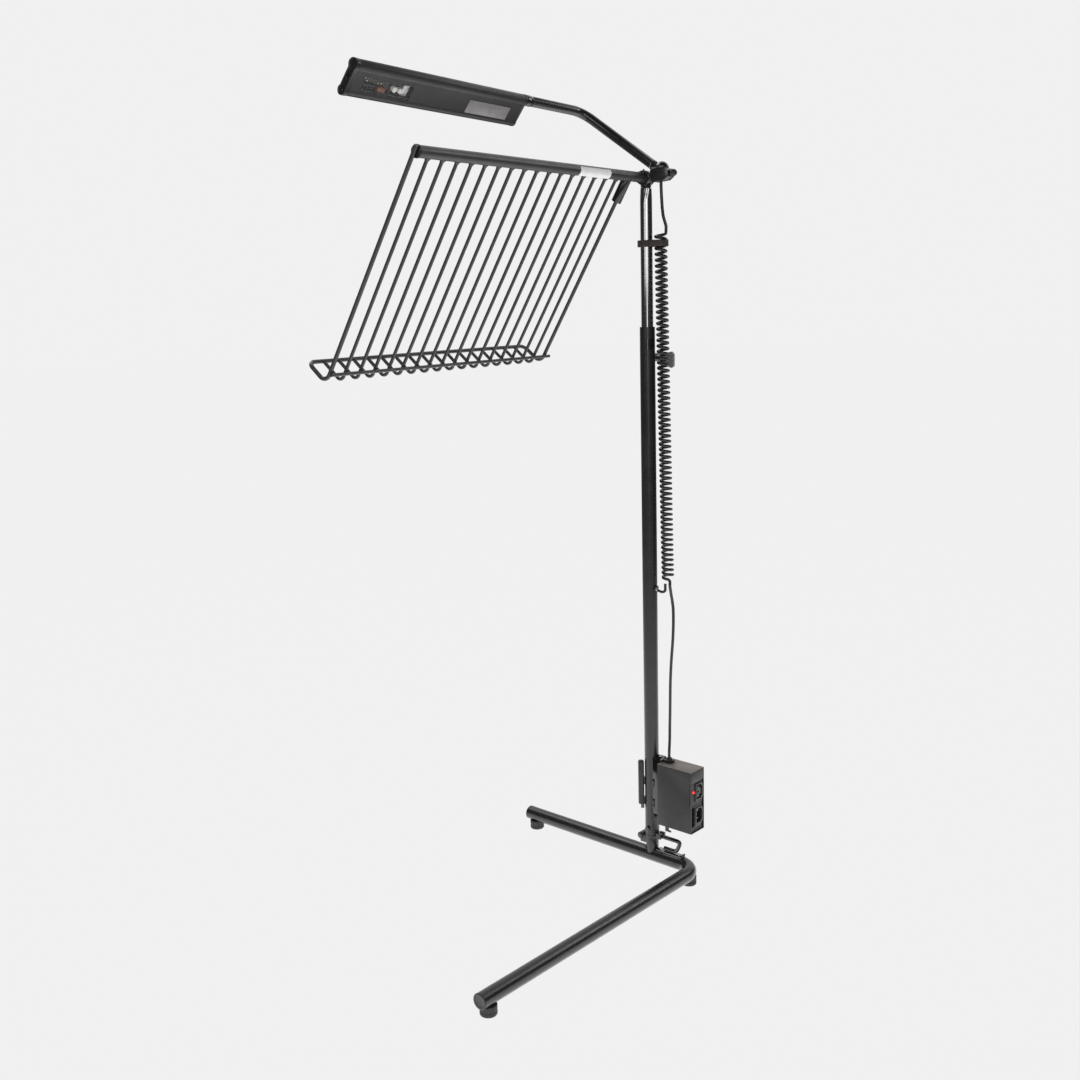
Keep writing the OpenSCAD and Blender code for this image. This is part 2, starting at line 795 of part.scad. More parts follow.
socket_mid_x = box_x0 + box_wall + seat_gap + 1 + inlet_cut_w / 2;
pin_places = [[-2, 7], [2, 0], [-2, -7]];

// Male mains inlet at one side of a deep recess
module mains_inlet() {
    color("black") at_mast() translate([0, end_panel_y, inlet_z]) difference() {
        union() {
            in_panel(socket_mid_x, -socket_depth, 0, socket_depth + box_wall)
                square([inlet_cut_w, inlet_cut_h], center = true);
            in_panel(inlet_x, box_wall, 0, 1.5) socket_outline(3);
        }
        in_panel(inlet_x, 3 - socket_depth, 0, socket_depth + 5) socket_outline(0);
        for (p = pin_places) in_panel(inlet_x + p[0], -socket_depth - cut, p[1], 6) square([4, 2], center = true);
        block(
            [inlet_x + socket_w / 2 + 4, -socket_depth / 2, 3 - inlet_cut_h / 2],
            [socket_mid_x + inlet_cut_w / 2 - 1, box_wall + cut, inlet_cut_h / 2 - 3]
        );
    }
}

module inlet_pins() {
    color("silver") at_mast() translate([inlet_x, end_panel_y, inlet_z])
        for (p = pin_places) in_panel(p[0], -socket_depth - 3, p[1], 19) square([4 - 0.1, 2 - 0.1], center = true);
}

// Female mains outlet with its core and three slots
module mains_outlet() {
    color("black") at_mast() translate([outlet_x, end_panel_y, outlet_z]) difference() {
        union() {
            in_panel(0, -socket_depth, 0, socket_depth + box_wall) socket_outline(1.8);
            in_panel(0, box_wall, 0, 1.5) socket_outline(3);
        }
        difference() {
            in_panel(0, 3 - socket_depth, 0, socket_depth + 5) socket_outline(0);
            in_panel(0, -socket_depth, 0, socket_depth + 2) socket_outline(-2.5);
        }
        for (p = pin_places) in_panel(p[0], 5 - socket_depth, p[1], socket_depth + 3) square([4.4, 2.2], center = true);
    }
}

module indicator_lens() {
    color("red") at_mast() translate([lens_x, 0, lens_z]) {
        bar_y(end_panel_y - 6, end_panel_y + box_wall + 1, 5);
        translate([0, end_panel_y + box_wall + 1, 0]) sphere(d = 5);
    }
}

gland_d = 8;

// Strain relief of the box lead
module box_gland() {
    color("black") at_mast() translate([gland_x, gland_y, box_top]) difference() {
        union() {
            block([-6, -11, 0], [6, 7, 4.5]);
            cylinder(h = 8, d = 10);
            translate([0, 0, -4]) cylinder(h = 5, d = gland_d - 2 * running_gap);
        }
        translate([0, 0, -5]) cylinder(h = 20, d = cord_d + 0.4);
    }
}

module supply_board() {
    x0 = box_x1 - box_wall - 5;
    color("darkgreen") at_mast() {
        block([x0, box_start + 6, box_z + 6], [x0 + 1.6, box_y1 - 24, box_top - 6]);
        translate([x0, box_start + 14, box_top - 22]) bar_x(-16, 0, 10);
        translate([x0, box_start + 28, box_top - 22]) bar_x(-16, 0, 10);
        block([x0 - 12, box_start + 10, box_top - 40], [x0, box_start + 30, box_top - 34]);
        for (z = [box_z + 10, box_top - 10]) translate([x0 + 1.6, box_start + 12, z]) bar_x(0, 3.4, 5);
    }
}

module transformer() {
    x0 = box_x0 + box_wall + 7;
    y0 = box_start + 6;
    z0 = box_z + box_wall + seat_gap;
    color("darkgoldenrod") at_mast() {
        block([x0 + 3, y0, z0], [x0 + 19, y0 + 38, z0 + 44]);
        block([x0, y0 + 8, z0 + 8], [x0 + 22, y0 + 30, z0 + 36]);
    }
}

block_top_z = box_top + 20;

// Grooved block between mast and box
module mounting_block() {
    color("black") at_mast() difference() {
        block([-10, 8, box_z + 14], [9, box_start, block_top_z]);
        translate([0, 0, box_z]) cylinder(h = box_h + 40, d = lower_tube_d);
        for (z = strap_heights) translate([0, 0, z - seat_gap])
            cylinder(h = strap_h + 2 * seat_gap, d = lower_tube_d + 2 * clamp_t + 2 * seat_gap);
    }
}

clamp_t = 2.5;
strap_h = 11;
strap_heights = [box_z + 28, box_z + 65];

// Two straps round the mast and the bar that draws them tight
module tube_clamp() {
    color("black") at_mast() {
        for (z = strap_heights) translate([0, 0, z]) wrapped_sheet(lower_tube_d, clamp_t, strap_h, 38, 334);
        rotate([0, 0, -48]) difference() {
            block([14, -3, strap_heights[0] - 8], [20, 3, strap_heights[1] + 34]);
            translate([0, 0, box_z]) cylinder(h = box_h + 30, d = lower_tube_d + 2);
        }
    }
}

// Upper mast
module upper_tube() {
    color("dimgray") at_mast() translate([0, 0, upper_bottom_z]) difference() {
        cylinder(h = neck_z - upper_bottom_z, d = upper_tube_d);
        translate([0, 0, -cut]) cylinder(h = neck_z - upper_bottom_z + 2 * cut, d = upper_bore_d);
    }
}

module glide_plug() {
    color("black") at_mast() translate([0, 0, upper_bottom_z]) {
        translate([0, 0, -glide_len]) cylinder(h = glide_len, d = lower_bore_d - 2 * running_gap);
        cylinder(h = glide_len, d = upper_bore_d - 2 * running_gap);
    }
}

// Neck in the upper tube, flattened towards its top, with the bearing for the head's stem
module mast_neck() {
    neck_h = neck_top_z - neck_z;
    color("gray") in_head() difference() {
        union() {
            translate([0, 0, neck_z - 28]) cylinder(h = 28, d = upper_bore_d - 2 * running_gap);
            translate([0, 0, neck_z]) cylinder(h = neck_h, d = upper_tube_d);
        }
        for (side = [0, 1]) mirror([side, 0, 0])
            translate([upper_tube_d / 2, -upper_tube_d, neck_z + 2]) rotate([0, -11, 0])
                cube([upper_tube_d, 2 * upper_tube_d, 2 * neck_h]);
        translate([0, 0, neck_top_z - stem_len]) cylinder(h = stem_len + cut, d = stem_d + 2 * running_gap);
    }
}

// Strap round the upper tube and the curly cord's top
module cord_strap() {
    inner_r = curl_d / 2 + 0.4;
    outer_r = inner_r + 1.6;
    lap_t = 1.8;
    color("black") at_mast() translate([0, 0, strap_z]) rotate([0, 0, cord_side])
        linear_extrude(strap_w) difference() {
            union() {
                belt(outer_r);
                intersection() {
                    belt(outer_r + lap_t);
                    translate([-20, -20]) square([28, 27]);
                }
            }
            belt(inner_r);
        }
}

// Outline round two equal circles, at the tube and at the cord
module belt(r) {
    circle(r = r);
    translate([curl_top[0], 0]) circle(r = r);
    translate([0, -r]) square([curl_top[0], 2 * r]);
}

// Head
module tilt_sleeve() {
    boss_d = 15;
    color("black") difference() {
        union() {
            in_block() bar_x(-sleeve_w / 2, sleeve_w / 2, sleeve_d);
            in_block() bar_y(0, sleeve_d / 2 + 1, boss_d);
            in_head() translate([0, 0, neck_top_z - stem_len + 1]) cylinder(h = stem_len + 2, d = stem_d);
            in_head() translate([0, 0, neck_top_z + seat_gap]) cylinder(h = sleeve_d / 2, d = 17);
        }
        in_block() bar_x(-sleeve_w, sleeve_w, desk_tube_d + 2 * running_gap);
    }
}

head_bolt_d = 6;
// A dome's tip is this much flat
tip_cut = 0.1;
washer_t = 1.6;
block_start = sleeve_d / 2 + 1 + washer_t + 0.2;

module head_block() {
    half = block_t / 2;
    shape = [
        [block_start, -half + 1],
        [block_start + 3, -half],
        [block_end - 7, -half],
        [block_end, -half + 4],
        [block_end, half - 4],
        [block_end - 5, half],
        [block_start, half]
    ];
    color("dimgray") in_block() difference() {
        translate([-half, 0, 0]) rotate([90, 0, 90]) linear_extrude(block_t) polygon(shape);
        bar_y(block_start - cut, block_end + cut, head_bolt_d + 2 * running_gap);
        translate([0, arm_pivot_y, 0]) cylinder(h = block_t, d = arm_pivot_d + 2 * running_gap);
        translate([0, head_exit_y, -half - cut]) cylinder(h = 5.5, d = cord_d + 1.2);
    }
}

// Bolt through the block, with its washer and cap nut
module head_bolt() {
    start = sleeve_d / 2 + 1;
    nut_h = 5.5;
    nut_d = 13;
    dome_d = 10.8;
    dome_mid = block_end + nut_h + 0.1;
    color("black") in_block() {
        bar_y(start, block_end + 1, head_bolt_d);
        bar_y(start, start + washer_t, 17);
        translate([0, block_end, 0]) rotate([-90, 0, 0]) cylinder(h = nut_h, d = nut_d, $fn = 6);
        intersection() {
            translate([0, dome_mid, 0]) rotate([-90, 0, 0]) sphere(d = dome_d);
            bar_y(block_end + 1, dome_mid + dome_d / 2 - tip_cut, 2 * dome_d);
        }
    }
}

// Screw that the lamp arm swings on, with its domed cap
module arm_pivot_screw() {
    shank_low = 4.5;
    cap_low = arm_plate_low + arm_plate_t + seat_gap;
    cap_d = 21;
    cap_h = 7.5;
    dome_r = (pow(cap_d / 2, 2) + pow(cap_h, 2)) / (2 * cap_h);
    color("black") in_block() translate([0, arm_pivot_y, 0]) {
        translate([0, 0, shank_low]) cylinder(h = cap_low + 1 - shank_low, d = arm_pivot_d);
        intersection() {
            translate([0, 0, cap_low + cap_h - dome_r]) sphere(r = dome_r);
            translate([0, 0, cap_low]) cylinder(h = cap_h - tip_cut, d = cap_d + 4);
        }
    }
}

// Desk
module desk_tube() {
    color("dimgray") in_desk() difference() {
        bar_x(-sleeve_w / 2 - 3, desk_tube_end, desk_tube_d);
        bar_x(-sleeve_w, desk_tube_end + cut, desk_tube_d - 2 * desk_wall);
    }
}

module desk_end_cap() {
    bore = desk_tube_d - 2 * desk_wall - 2 * running_gap;
    color("black") in_desk() {
        bar_x(desk_tube_end - 12, desk_tube_end, bore);
        bar_x(desk_tube_end, desk_tube_end + 3, desk_tube_d + 1.5);
    }
}

// A place along the lip, from the bend at the foot of the page
function lip_point(along) = [0, -along * cos(lip_lean), along * sin(lip_lean) - desk_drop];

frame_path = [
    [desk_end, 0, desk_tube_d / 2],
    [desk_end, 0, -desk_drop],
    [desk_end, 0, 0] + lip_point(lip_depth),
    [desk_start, 0, 0] + lip_point(lip_depth),
    [desk_start, 0, -desk_drop],
    [desk_start, 0, -stub_bottom]
];

// Outer wire, bent in one piece down one side, along the lip and up the other side
module desk_frame() {
    color("dimgray") in_desk() bent_rod(frame_path, frame_wire_d, frame_bend_r);
}

// Inner wires, welded under the tube and to the lip's rod
module desk_wires() {
    lip_end = lip_point(lip_depth - frame_wire_d / 2);
    color("dimgray") in_desk() for (i = [1:inner_wires])
        translate([desk_start + i * wire_pitch, 0, 0])
            bent_rod([[0, 0, -desk_tube_d / 2], [0, 0, -desk_drop], lip_end], wire_d, wire_bend_r);
}

module cross_rod() {
    y = (wire_d + frame_wire_d) / 2;
    color("dimgray") in_desk() translate([0, y, -desk_drop + cross_rod_up])
        bar_x(desk_start - 7, desk_end + 3, wire_d);
}

module desk_stub() {
    color("black") in_desk() difference() {
        translate([desk_start, 0, -stub_bottom]) cylinder(h = stub_bottom, d = stub_d);
        bar_x(0, desk_end, desk_tube_d);
    }
}

module desk_label() {
    color("white") in_head() translate([113, 0, desk_axis_z]) rotate([90, 0, 90])
        wrapped_sheet(desk_tube_d, 0.25, 81, -80, 35);
}

module cable_tie() {
    ring_d = desk_tube_d + 2.4;
    color("black") in_desk() difference() {
        union() {
            bar_x(16, 19, ring_d);
            translate([17.5, 3, ring_d / 2 - 1]) rotate([30, 0, 0]) cylinder(h = 7, d = 2.2);
        }
        bar_x(10, 30, desk_tube_d + 0.3);
    }
}

// Arm
arm_end_dir = [cos(lamp_rise), 0, sin(lamp_rise)];
arm_bend = [0, -arm_reach, lamp_axis_z];
arm_path = [
    [0, arm_foot_y, arm_foot_z],
    arm_bend,
    arm_bend + (lamp_start - collar_t) * arm_end_dir
];

// Arm tube, pressed flat where it sits on the pivot screw
module arm_tube() {
    foot = arm_path[0];
    up = unit(arm_bend - foot);
    spigot_end = arm_bend + (lamp_start + 30) * arm_end_dir;
    half = arm_plate_w / 2;
    flat_y = arm_pivot_y - half - 3;
    plate_top = arm_plate_low + arm_plate_t;
    color("dimgray") difference() {
        union() {
            in_head() bent_rod(arm_path, arm_d, arm_bend_r);
            in_head() rod(arm_path[2] - 10 * arm_end_dir, spigot_end, spigot_d);
            in_block() translate([0, arm_pivot_y, arm_plate_low]) cylinder(h = arm_plate_t, d = arm_plate_w);
            in_block() block([-half, flat_y, arm_plate_low], [half, arm_pivot_y, plate_top]);
            hull() {
                in_block() block(
                    [-half - bend_lap, flat_y - 1, arm_plate_low - bend_lap],
                    [half + bend_lap, flat_y + 1, plate_top + bend_lap]
                );
                in_head() rod(foot - up, foot + 3 * up, arm_d + 0.4, $fn = 32);
            }
        }
        in_head()
            bent_rod([foot + 6 * up, arm_bend, spigot_end + cut * arm_end_dir], spigot_d - 2 * arm_wall, arm_bend_r);
        in_block() translate([0, arm_pivot_y, arm_plate_low - cut])
            cylinder(h = arm_plate_t + 2 * cut, d = arm_pivot_d + 2 * running_gap);
    }
}

module arm_collar() {
    color("black") in_head() difference() {
        rod(arm_path[2], arm_bend + (lamp_start - seat_gap) * arm_end_dir, arm_d + 1.2);
        rod(arm_bend, arm_bend + 2 * lamp_start * arm_end_dir, spigot_d);
    }
}

// Lamp
// Length of the lamp's section: round upper edge, panel and lower lip
module lamp_section(x0, x1, grow) {
    union() {
        bar_x(x0, x1, 2 * (lobe_r + grow));
        translate([0, 0, -lamp_drop]) bar_x(x0, x1, 2 * (lip_r + grow));
        block([x0, -panel_back - grow, 2 - lamp_drop], [x1, panel_front + grow, -2]);
    }
}

window_len = 96.2;
window_x0 = lamp_end - 18.2 - window_len;
window_low = -33.2;
window_high = -12.2;
// Floor of the recess that the window sits in
window_seat = panel_front - lamp_wall - 0.4;
plate_x0 = lamp_start + 30;
plate_len = 96.5;
plate_low = -34;
plate_high = -13.6;
slot_w = 4;
// Thickness of the dark trim on the housing's end at the arm
trim_t = 5;
strip_r = lip_r - lamp_wall;

module lip_slot(x0, x1) {
    translate([x0, 0, -lamp_drop]) rotate([-45, 0, 0]) translate([0, 0, -slot_w / 2]) cube([x1 - x0, lip_r + 2, slot_w]);
}

module lamp_housing() {
    color("dimgray") in_lamp() difference() {
        lamp_section(lamp_start + trim_t, lamp_end, 0);
        bar_x(lamp_start - cut, lamp_end + cut, spigot_d + 2 * running_gap);
        block(
            [lamp_start - cut, -panel_back + lamp_wall, cavity_low],
            [lamp_end + cut, panel_front - lamp_wall, cavity_high]
        );
        block(
            [window_x0, window_seat, window_low],
            [window_x0 + window_len, panel_front + 5, window_high]
        );
        translate([0, 0, -lamp_drop]) bar_x(lamp_start - cut, lamp_end + cut, 2 * strip_r);
        lip_slot(lamp_start - cut, lamp_end + cut);
    }
}

button_d = 7;
button_z = -20;

module lamp_end_caps() {
    color("black") in_lamp() {
        difference() {
            lamp_section(lamp_end, lamp_end + end_cap_t, 0.4);
            translate([0, 0, button_z]) bar_x(lamp_end - cut, lamp_end + end_cap_t + cut, button_d + 2 * running_gap);
        }
        difference() {
            lamp_section(lamp_start, lamp_start + trim_t, 0.3);
            bar_x(lamp_start - cut, lamp_start + trim_t + cut, spigot_d + 2 * running_gap);
        }
    }
}

module switch_button() {
    color("dimgray") in_lamp() translate([0, 0, button_z])
        bar_x(lamp_end + 2.5, lamp_end + end_cap_t + switch_travel + 1, button_d);
}

module lamp_window() {
    gap = 0.2;
    color("lightblue", 0.4) in_lamp() block(
        [window_x0 + gap, window_seat + 0.1, window_low + gap],
        [window_x0 + window_len - gap, panel_front - 0.1, window_high - gap]
    );
}

module lamp_plate() {
    color("silver") in_lamp() block(
        [plate_x0, panel_front, plate_low],
        [plate_x0 + plate_len, panel_front + 0.8, plate_high]
    );
}

module light_strip() {
    color("white") in_lamp() translate([0, 0, -lamp_drop]) rotate([-45, 0, 0])
        block([lamp_start + trim_t + 2, 1.4 - strip_r, -3.4], [lamp_end - 2, 2.4 - strip_r, 3.4]);
}

module diffuser() {
    color("white") in_lamp() translate([0, 0, -lamp_drop]) rotate([-45, 0, 0]) intersection() {
        bar_x(lamp_start + trim_t + 2, lamp_end - 2, 2 * strip_r - 0.2);
        block([0, -0.7, -strip_r], [lamp_end, strip_r, strip_r]);
    }
}

board_y = -panel_back + lamp_wall + 0.2;
board_t = 1.4;

module driver_board() {
    color("darkgreen") in_lamp() block(
        [window_x0 + 2, board_y, cavity_low + 0.5],
        [window_x0 + window_len - 2, board_y + board_t, cavity_high - 0.5]
    );
}

// Part of the driver: a cylinder standing on the board
module board_can(x, z, d, h) {
    translate([window_x0 + x, 0, z]) bar_y(board_y + board_t, board_y + board_t + h, d);
}

module driver_parts() {
    part_h = window_seat - board_y - board_t - 0.1;
    top = board_y + board_t;
    color("saddlebrown") in_lamp() {
        board_can(31, -22.5, 8, part_h);
        board_can(19, -23, 8, part_h);
        board_can(84, -17.5, 5, part_h);
        board_can(16, -14.5, 4, part_h - 1);
        block([window_x0 + 66, top, -27.5], [window_x0 + 90, top + part_h - 1, -21]);
        block([window_x0 + 47, top, -29.8], [window_x0 + 61.5, top + part_h - 1, -24.5]);
        block([window_x0 + 2, top, -29], [window_x0 + 12, top + part_h - 2.5, -18]);
    }
}

// Cords
// Middle line of the curls, from the bottom up, as t runs from 0 to 1
function curl_axis(t) = lerp(curl_bottom[0], curl_top[0], t) * cord_dir;
// Height along the coil, with curls a little wider apart towards the top
function curl_height(t) = lerp(curl_bottom[1], curl_top[1], t * (0.96 + 0.04 * t));
function curl_angle(t) = curl_bottom_a - 360 * curls * t;
function curl_point(t) = curl_axis(t) + [curl_r * cos(curl_angle(t)), curl_r * sin(curl_angle(t)), curl_height(t)];
// Turn that leads an end of the curls into the vertical: side is 1 at the top and -1 at the bottom
function curl_exit(t, side) =
    let (
        p = curl_point(t),
        along = side * [sin(curl_angle(t)), -cos(curl_angle(t)), 0],
        r = curl_exit_r
    ) concat(
        [for (a = [30:30:90]) p + r * sin(a) * along + [0, 0, side * r * (1 - cos(a))]],
        [p + r * along + [0, 0, side * (r + curl_exit_len)]]
    );
function reversed(v) = [for (i = [len(v) - 1:-1:0]) v[i]];

curl_rings = [for (i = [0:ring_count]) curl_point(i / ring_count)];
curl_path = concat(reversed(curl_exit(0, -1)), curl_rings, curl_exit(1, 1));

// Least distance between the middle lines of neighbouring curls, less the cord itself
curl_gap = min([
    for (i = [0:len(curl_path) - rings_per_curl], j = [rings_per_curl - 2:rings_per_curl + 2])
        if (i + j < len(curl_path)) norm(curl_path[i + j] - curl_path[i])
]) - cord_d;

module curly_cord() {
    echo(least_gap_between_curls = curl_gap);
    echo(curly_cord_ends = [curl_path[0], curl_path[len(curl_path) - 1]]);
    color("black") at_mast() swept_tube(curl_path, cord_d, 6);
}

// Free lead from the head block down to the curly cord
module head_lead() {
    color("black") at_mast() swept_tube(head_lead_route, cord_d, 8);
}

// Free lead from the curly cord down into the power box
module box_lead() {
    color("black") at_mast() swept_tube(box_lead_route, cord_d, 8);
}

base_tube();
base_end_plugs();
rubber_feet();
foot_studs();
hinge_post();
keeper_strip();
hinge_pin();
lower_tube();
mast_shoe();
shoe_bolt();
guide_collar();
clamp_boss();
tube_sticker();
hook_rivet();
cable_hook();
box_shell();
box_cover();
box_end_panel();
mounting_block();
tube_clamp();
box_screws();
mains_inlet();
inlet_pins();
mains_outlet();
indicator_lens();
box_gland();
supply_board();
transformer();
release_lever();
clamp_lever();
upper_tube();
glide_plug();
mast_neck();
cord_strap();
tilt_sleeve();
head_block();
head_bolt();
arm_pivot_screw();
desk_tube();
desk_end_cap();
desk_frame();
desk_wires();
cross_rod();
desk_stub();
desk_label();
cable_tie();
arm_tube();
arm_collar();
lamp_housing();
lamp_end_caps();
lamp_window();
lamp_plate();
light_strip();
diffuser();
driver_board();
driver_parts();
switch_button();
head_lead();
curly_cord();
box_lead();
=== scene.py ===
import json
import math
import bpy
from mathutils import Matrix, Vector

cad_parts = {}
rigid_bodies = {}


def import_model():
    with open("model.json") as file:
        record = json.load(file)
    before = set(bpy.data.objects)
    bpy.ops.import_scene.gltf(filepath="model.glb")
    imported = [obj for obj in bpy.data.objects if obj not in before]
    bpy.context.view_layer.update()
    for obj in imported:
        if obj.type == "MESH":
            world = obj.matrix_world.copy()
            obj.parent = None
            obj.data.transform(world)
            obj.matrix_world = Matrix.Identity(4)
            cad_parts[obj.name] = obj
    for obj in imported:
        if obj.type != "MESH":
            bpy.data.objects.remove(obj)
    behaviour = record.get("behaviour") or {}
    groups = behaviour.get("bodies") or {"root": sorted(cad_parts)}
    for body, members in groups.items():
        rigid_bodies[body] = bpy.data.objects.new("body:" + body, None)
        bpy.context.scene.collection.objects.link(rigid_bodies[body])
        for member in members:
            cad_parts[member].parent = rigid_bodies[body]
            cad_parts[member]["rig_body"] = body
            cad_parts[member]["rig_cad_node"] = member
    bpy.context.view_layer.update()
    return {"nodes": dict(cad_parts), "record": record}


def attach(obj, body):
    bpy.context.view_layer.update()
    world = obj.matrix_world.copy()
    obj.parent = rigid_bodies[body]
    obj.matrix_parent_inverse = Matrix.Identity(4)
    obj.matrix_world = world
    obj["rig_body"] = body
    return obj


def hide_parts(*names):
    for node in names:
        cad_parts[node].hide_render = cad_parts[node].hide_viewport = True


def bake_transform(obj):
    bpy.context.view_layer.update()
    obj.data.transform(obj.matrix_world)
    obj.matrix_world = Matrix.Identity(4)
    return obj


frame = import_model()
nodes = frame["nodes"]
slot_of = {part["node"]: part["material_slot"] for part in frame["record"]["subparts"]}

# Lengths below are in millimetres, in the place where the piece is made
MM = 0.001
# The mast's foot in the frame, in metres
MAST_PLACE = (-0.010, -0.085, 0)
HEAD_YAW = 5.6
DESK_AXIS_Z = 1185
DESK_LEAN = 31.7
LAMP_AXIS_Z = 1298.3
ARM_REACH = 121
LAMP_RISE = 0.9
LAMP_LEAN = 38.4
BLOCK_TILT = 5


def turn(angle, axis):
    return Matrix.Rotation(math.radians(angle), 4, axis)


AT_MAST = Matrix.Translation(MAST_PLACE) @ Matrix.Scale(MM, 4)
IN_HEAD = AT_MAST @ turn(HEAD_YAW, "Z")
IN_BLOCK = IN_HEAD @ Matrix.Translation((0, 0, DESK_AXIS_Z)) @ turn(BLOCK_TILT, "X")
IN_DESK = IN_HEAD @ Matrix.Translation((0, 0, DESK_AXIS_Z)) @ turn(-DESK_LEAN, "X")
IN_LAMP = (
    IN_HEAD
    @ Matrix.Translation((0, -ARM_REACH, LAMP_AXIS_Z))
    @ turn(-LAMP_RISE, "Y")
    @ turn(-LAMP_LEAN, "X")
)

# Camera, as fitted to the photograph, in metres
CAMERA_PLACE = Vector((1.63506, 1.15599, 0.99783))
CAMERA_RIGHT = Vector((-0.66736, 0.74425, -0.02695))
CAMERA_UP = Vector((-0.15936, -0.10736, 0.98137))
LENS = 41.24
SENSOR = 36


def make_camera():
    data = bpy.data.cameras.new("photo_camera")
    data.lens = LENS
    data.sensor_width = SENSOR
    camera = bpy.data.objects.new("photo_camera", data)
    bpy.context.scene.collection.objects.link(camera)
    back = CAMERA_RIGHT.cross(CAMERA_UP).normalized()
    up = back.cross(CAMERA_RIGHT).normalized()
    turned_to = Matrix((CAMERA_RIGHT.normalized(), up, back)).transposed()
    camera.matrix_world = Matrix.Translation(CAMERA_PLACE) @ turned_to.to_4x4()
    bpy.context.scene.camera = camera


# Modelling helpers
def deselect():
    bpy.ops.object.select_all(action="DESELECT")


def pick(piece):
    deselect()
    piece.select_set(True)
    bpy.context.view_layer.objects.active = piece


def named(name):
    """Names the piece just made, and takes its place and size into its mesh."""
    piece = bpy.context.active_object
    piece.name = name
    piece.data.name = name
    pick(piece)
    bpy.ops.object.transform_apply(location=True, rotation=True, scale=True)
    return piece


def edit(piece):
    """Enters edit mode with the whole mesh selected."""
    pick(piece)
    bpy.ops.object.mode_set(mode="EDIT")
    bpy.ops.mesh.select_all(action="SELECT")


def leave_edit():
    """Leaves edit mode with every face turned outwards."""
    bpy.ops.mesh.select_all(action="SELECT")
    bpy.ops.mesh.normals_make_consistent(inside=False)
    bpy.ops.object.mode_set(mode="OBJECT")


def bar(name, start, end, d, sides=40):
    """Round bar between two points."""
    a, b = Vector(start), Vector(end)
    deselect()
    bpy.ops.mesh.primitive_cylinder_add(
        vertices=sides,
        radius=d / 2,
        depth=(b - a).length,
        location=(a + b) / 2,
        rotation=(b - a).to_track_quat("Z", "Y").to_euler(),
    )
    return named(name)


def slab(name, low, high):
    """Block between two corners."""
    a, b = Vector(low), Vector(high)
    deselect()
    bpy.ops.mesh.primitive_cube_add(size=1, location=(a + b) / 2, scale=b - a)
    return named(name)


def turned(name, steps, sides=48):
    """Turned piece on the Z axis, through steps of (radius, height)."""
    r, z = steps[0]
    deselect()
    bpy.ops.mesh.primitive_circle_add(vertices=sides, radius=r, fill_type="NGON", location=(0, 0, z))
    piece = named(name)
    edit(piece)
    for r_next, z_next in steps[1:]:
        bpy.ops.mesh.extrude_region_move(TRANSFORM_OT_translate={"value": (0, 0, z_next - z)})
        k = r_next / r
        bpy.ops.transform.resize(value=(k, k, 1), center_override=(0, 0, z_next))
        r, z = r_next, z_next
    leave_edit()
    return piece


def drawn_out(name, outline, x0, x1):
    """Outline of (y, z) points drawn out along X."""
    deselect()
    bpy.ops.mesh.primitive_circle_add(vertices=len(outline), radius=1, fill_type="NGON")
    piece = named(name)
    for vertex, (y, z) in zip(piece.data.vertices, outline):
        vertex.co = (x0, y, z)
    edit(piece)
    bpy.ops.mesh.extrude_region_move(TRANSFORM_OT_translate={"value": (x1 - x0, 0, 0)})
    leave_edit()
    return piece


def carve(piece, cutter):
    """Takes the cutter's shape out of the piece."""
    cut = piece.modifiers.new("cut", "BOOLEAN")
    cut.operation = "DIFFERENCE"
    cut.solver = "EXACT"
    cut.object = cutter
    pick(piece)
    bpy.ops.object.modifier_apply(modifier=cut.name)
    bpy.data.objects.remove(cutter)


def soften(piece, width, segments=2, angle=35):
    """Rounds the edges, and smooths what is rounder than them."""
    bevel = piece.modifiers.new("round", "BEVEL")
    bevel.width = width
    bevel.segments = segments
    bevel.limit_method = "ANGLE"
    bevel.angle_limit = math.radians(angle)
    pick(piece)
    bpy.ops.object.modifier_apply(modifier=bevel.name)
    bpy.ops.object.shade_smooth_by_angle(angle=math.radians(angle))
    return piece


def joined(name, pieces):
    """One piece made of all the pieces."""
    deselect()
    for piece in pieces:
        piece.select_set(True)
    bpy.context.view_layer.objects.active = pieces[0]
    if len(pieces) > 1:
        bpy.ops.object.join()
    return named(name)


def copied(piece, matrix):
    """A copy with its own mesh, moved."""
    twin = piece.copy()
    twin.data = piece.data.copy()
    bpy.context.scene.collection.objects.link(twin)
    twin.data.transform(matrix)
    return twin


def settle(piece, place, body, slot, *stands_for, finish=None):
    """Puts a finished piece in its place in the frame, gives it its finish, hangs it on the body it rides on
    and hides the CAD nodes that it stands for.
    """
    piece.data.transform(place)
    piece.data.materials.clear()
    piece.data.materials.append(finish or FINISH[slot])
    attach(piece, body)
    if stands_for:
        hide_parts(*stands_for)
    return piece


# Distance in metres within which an eased node's vertices are merged, and degrees within which faces are one
MERGE_WITHIN = 0.000004
FLAT_WITHIN = 1.5


def eased(node, name, width, angle=35, finish=None):
    """Copy of a CAD node with its edges rounded, which stands for the node."""
    piece = nodes[node].copy()
    piece.data = nodes[node].data.copy()
    piece.parent = None
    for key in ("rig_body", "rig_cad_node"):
        del piece[key]
    bpy.context.scene.collection.objects.link(piece)
    piece.name = name
    piece.data.name = name
    if piece.data.has_custom_normals:
        pick(piece)
        bpy.ops.mesh.customdata_custom_splitnormals_clear()
    edit(piece)
    bpy.ops.mesh.remove_doubles(threshold=MERGE_WITHIN)
    bpy.ops.mesh.dissolve_limited(angle_limit=math.radians(FLAT_WITHIN))
    leave_edit()
    soften(piece, width * MM, 2, angle)
    return settle(piece, Matrix.Identity(4), nodes[node]["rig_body"], slot_of[node], node, finish=finish)


# Finishes
# Range of the noise over which a finish goes from its one end to its other
NOISE_LOW, NOISE_HIGH = 0.3, 0.7


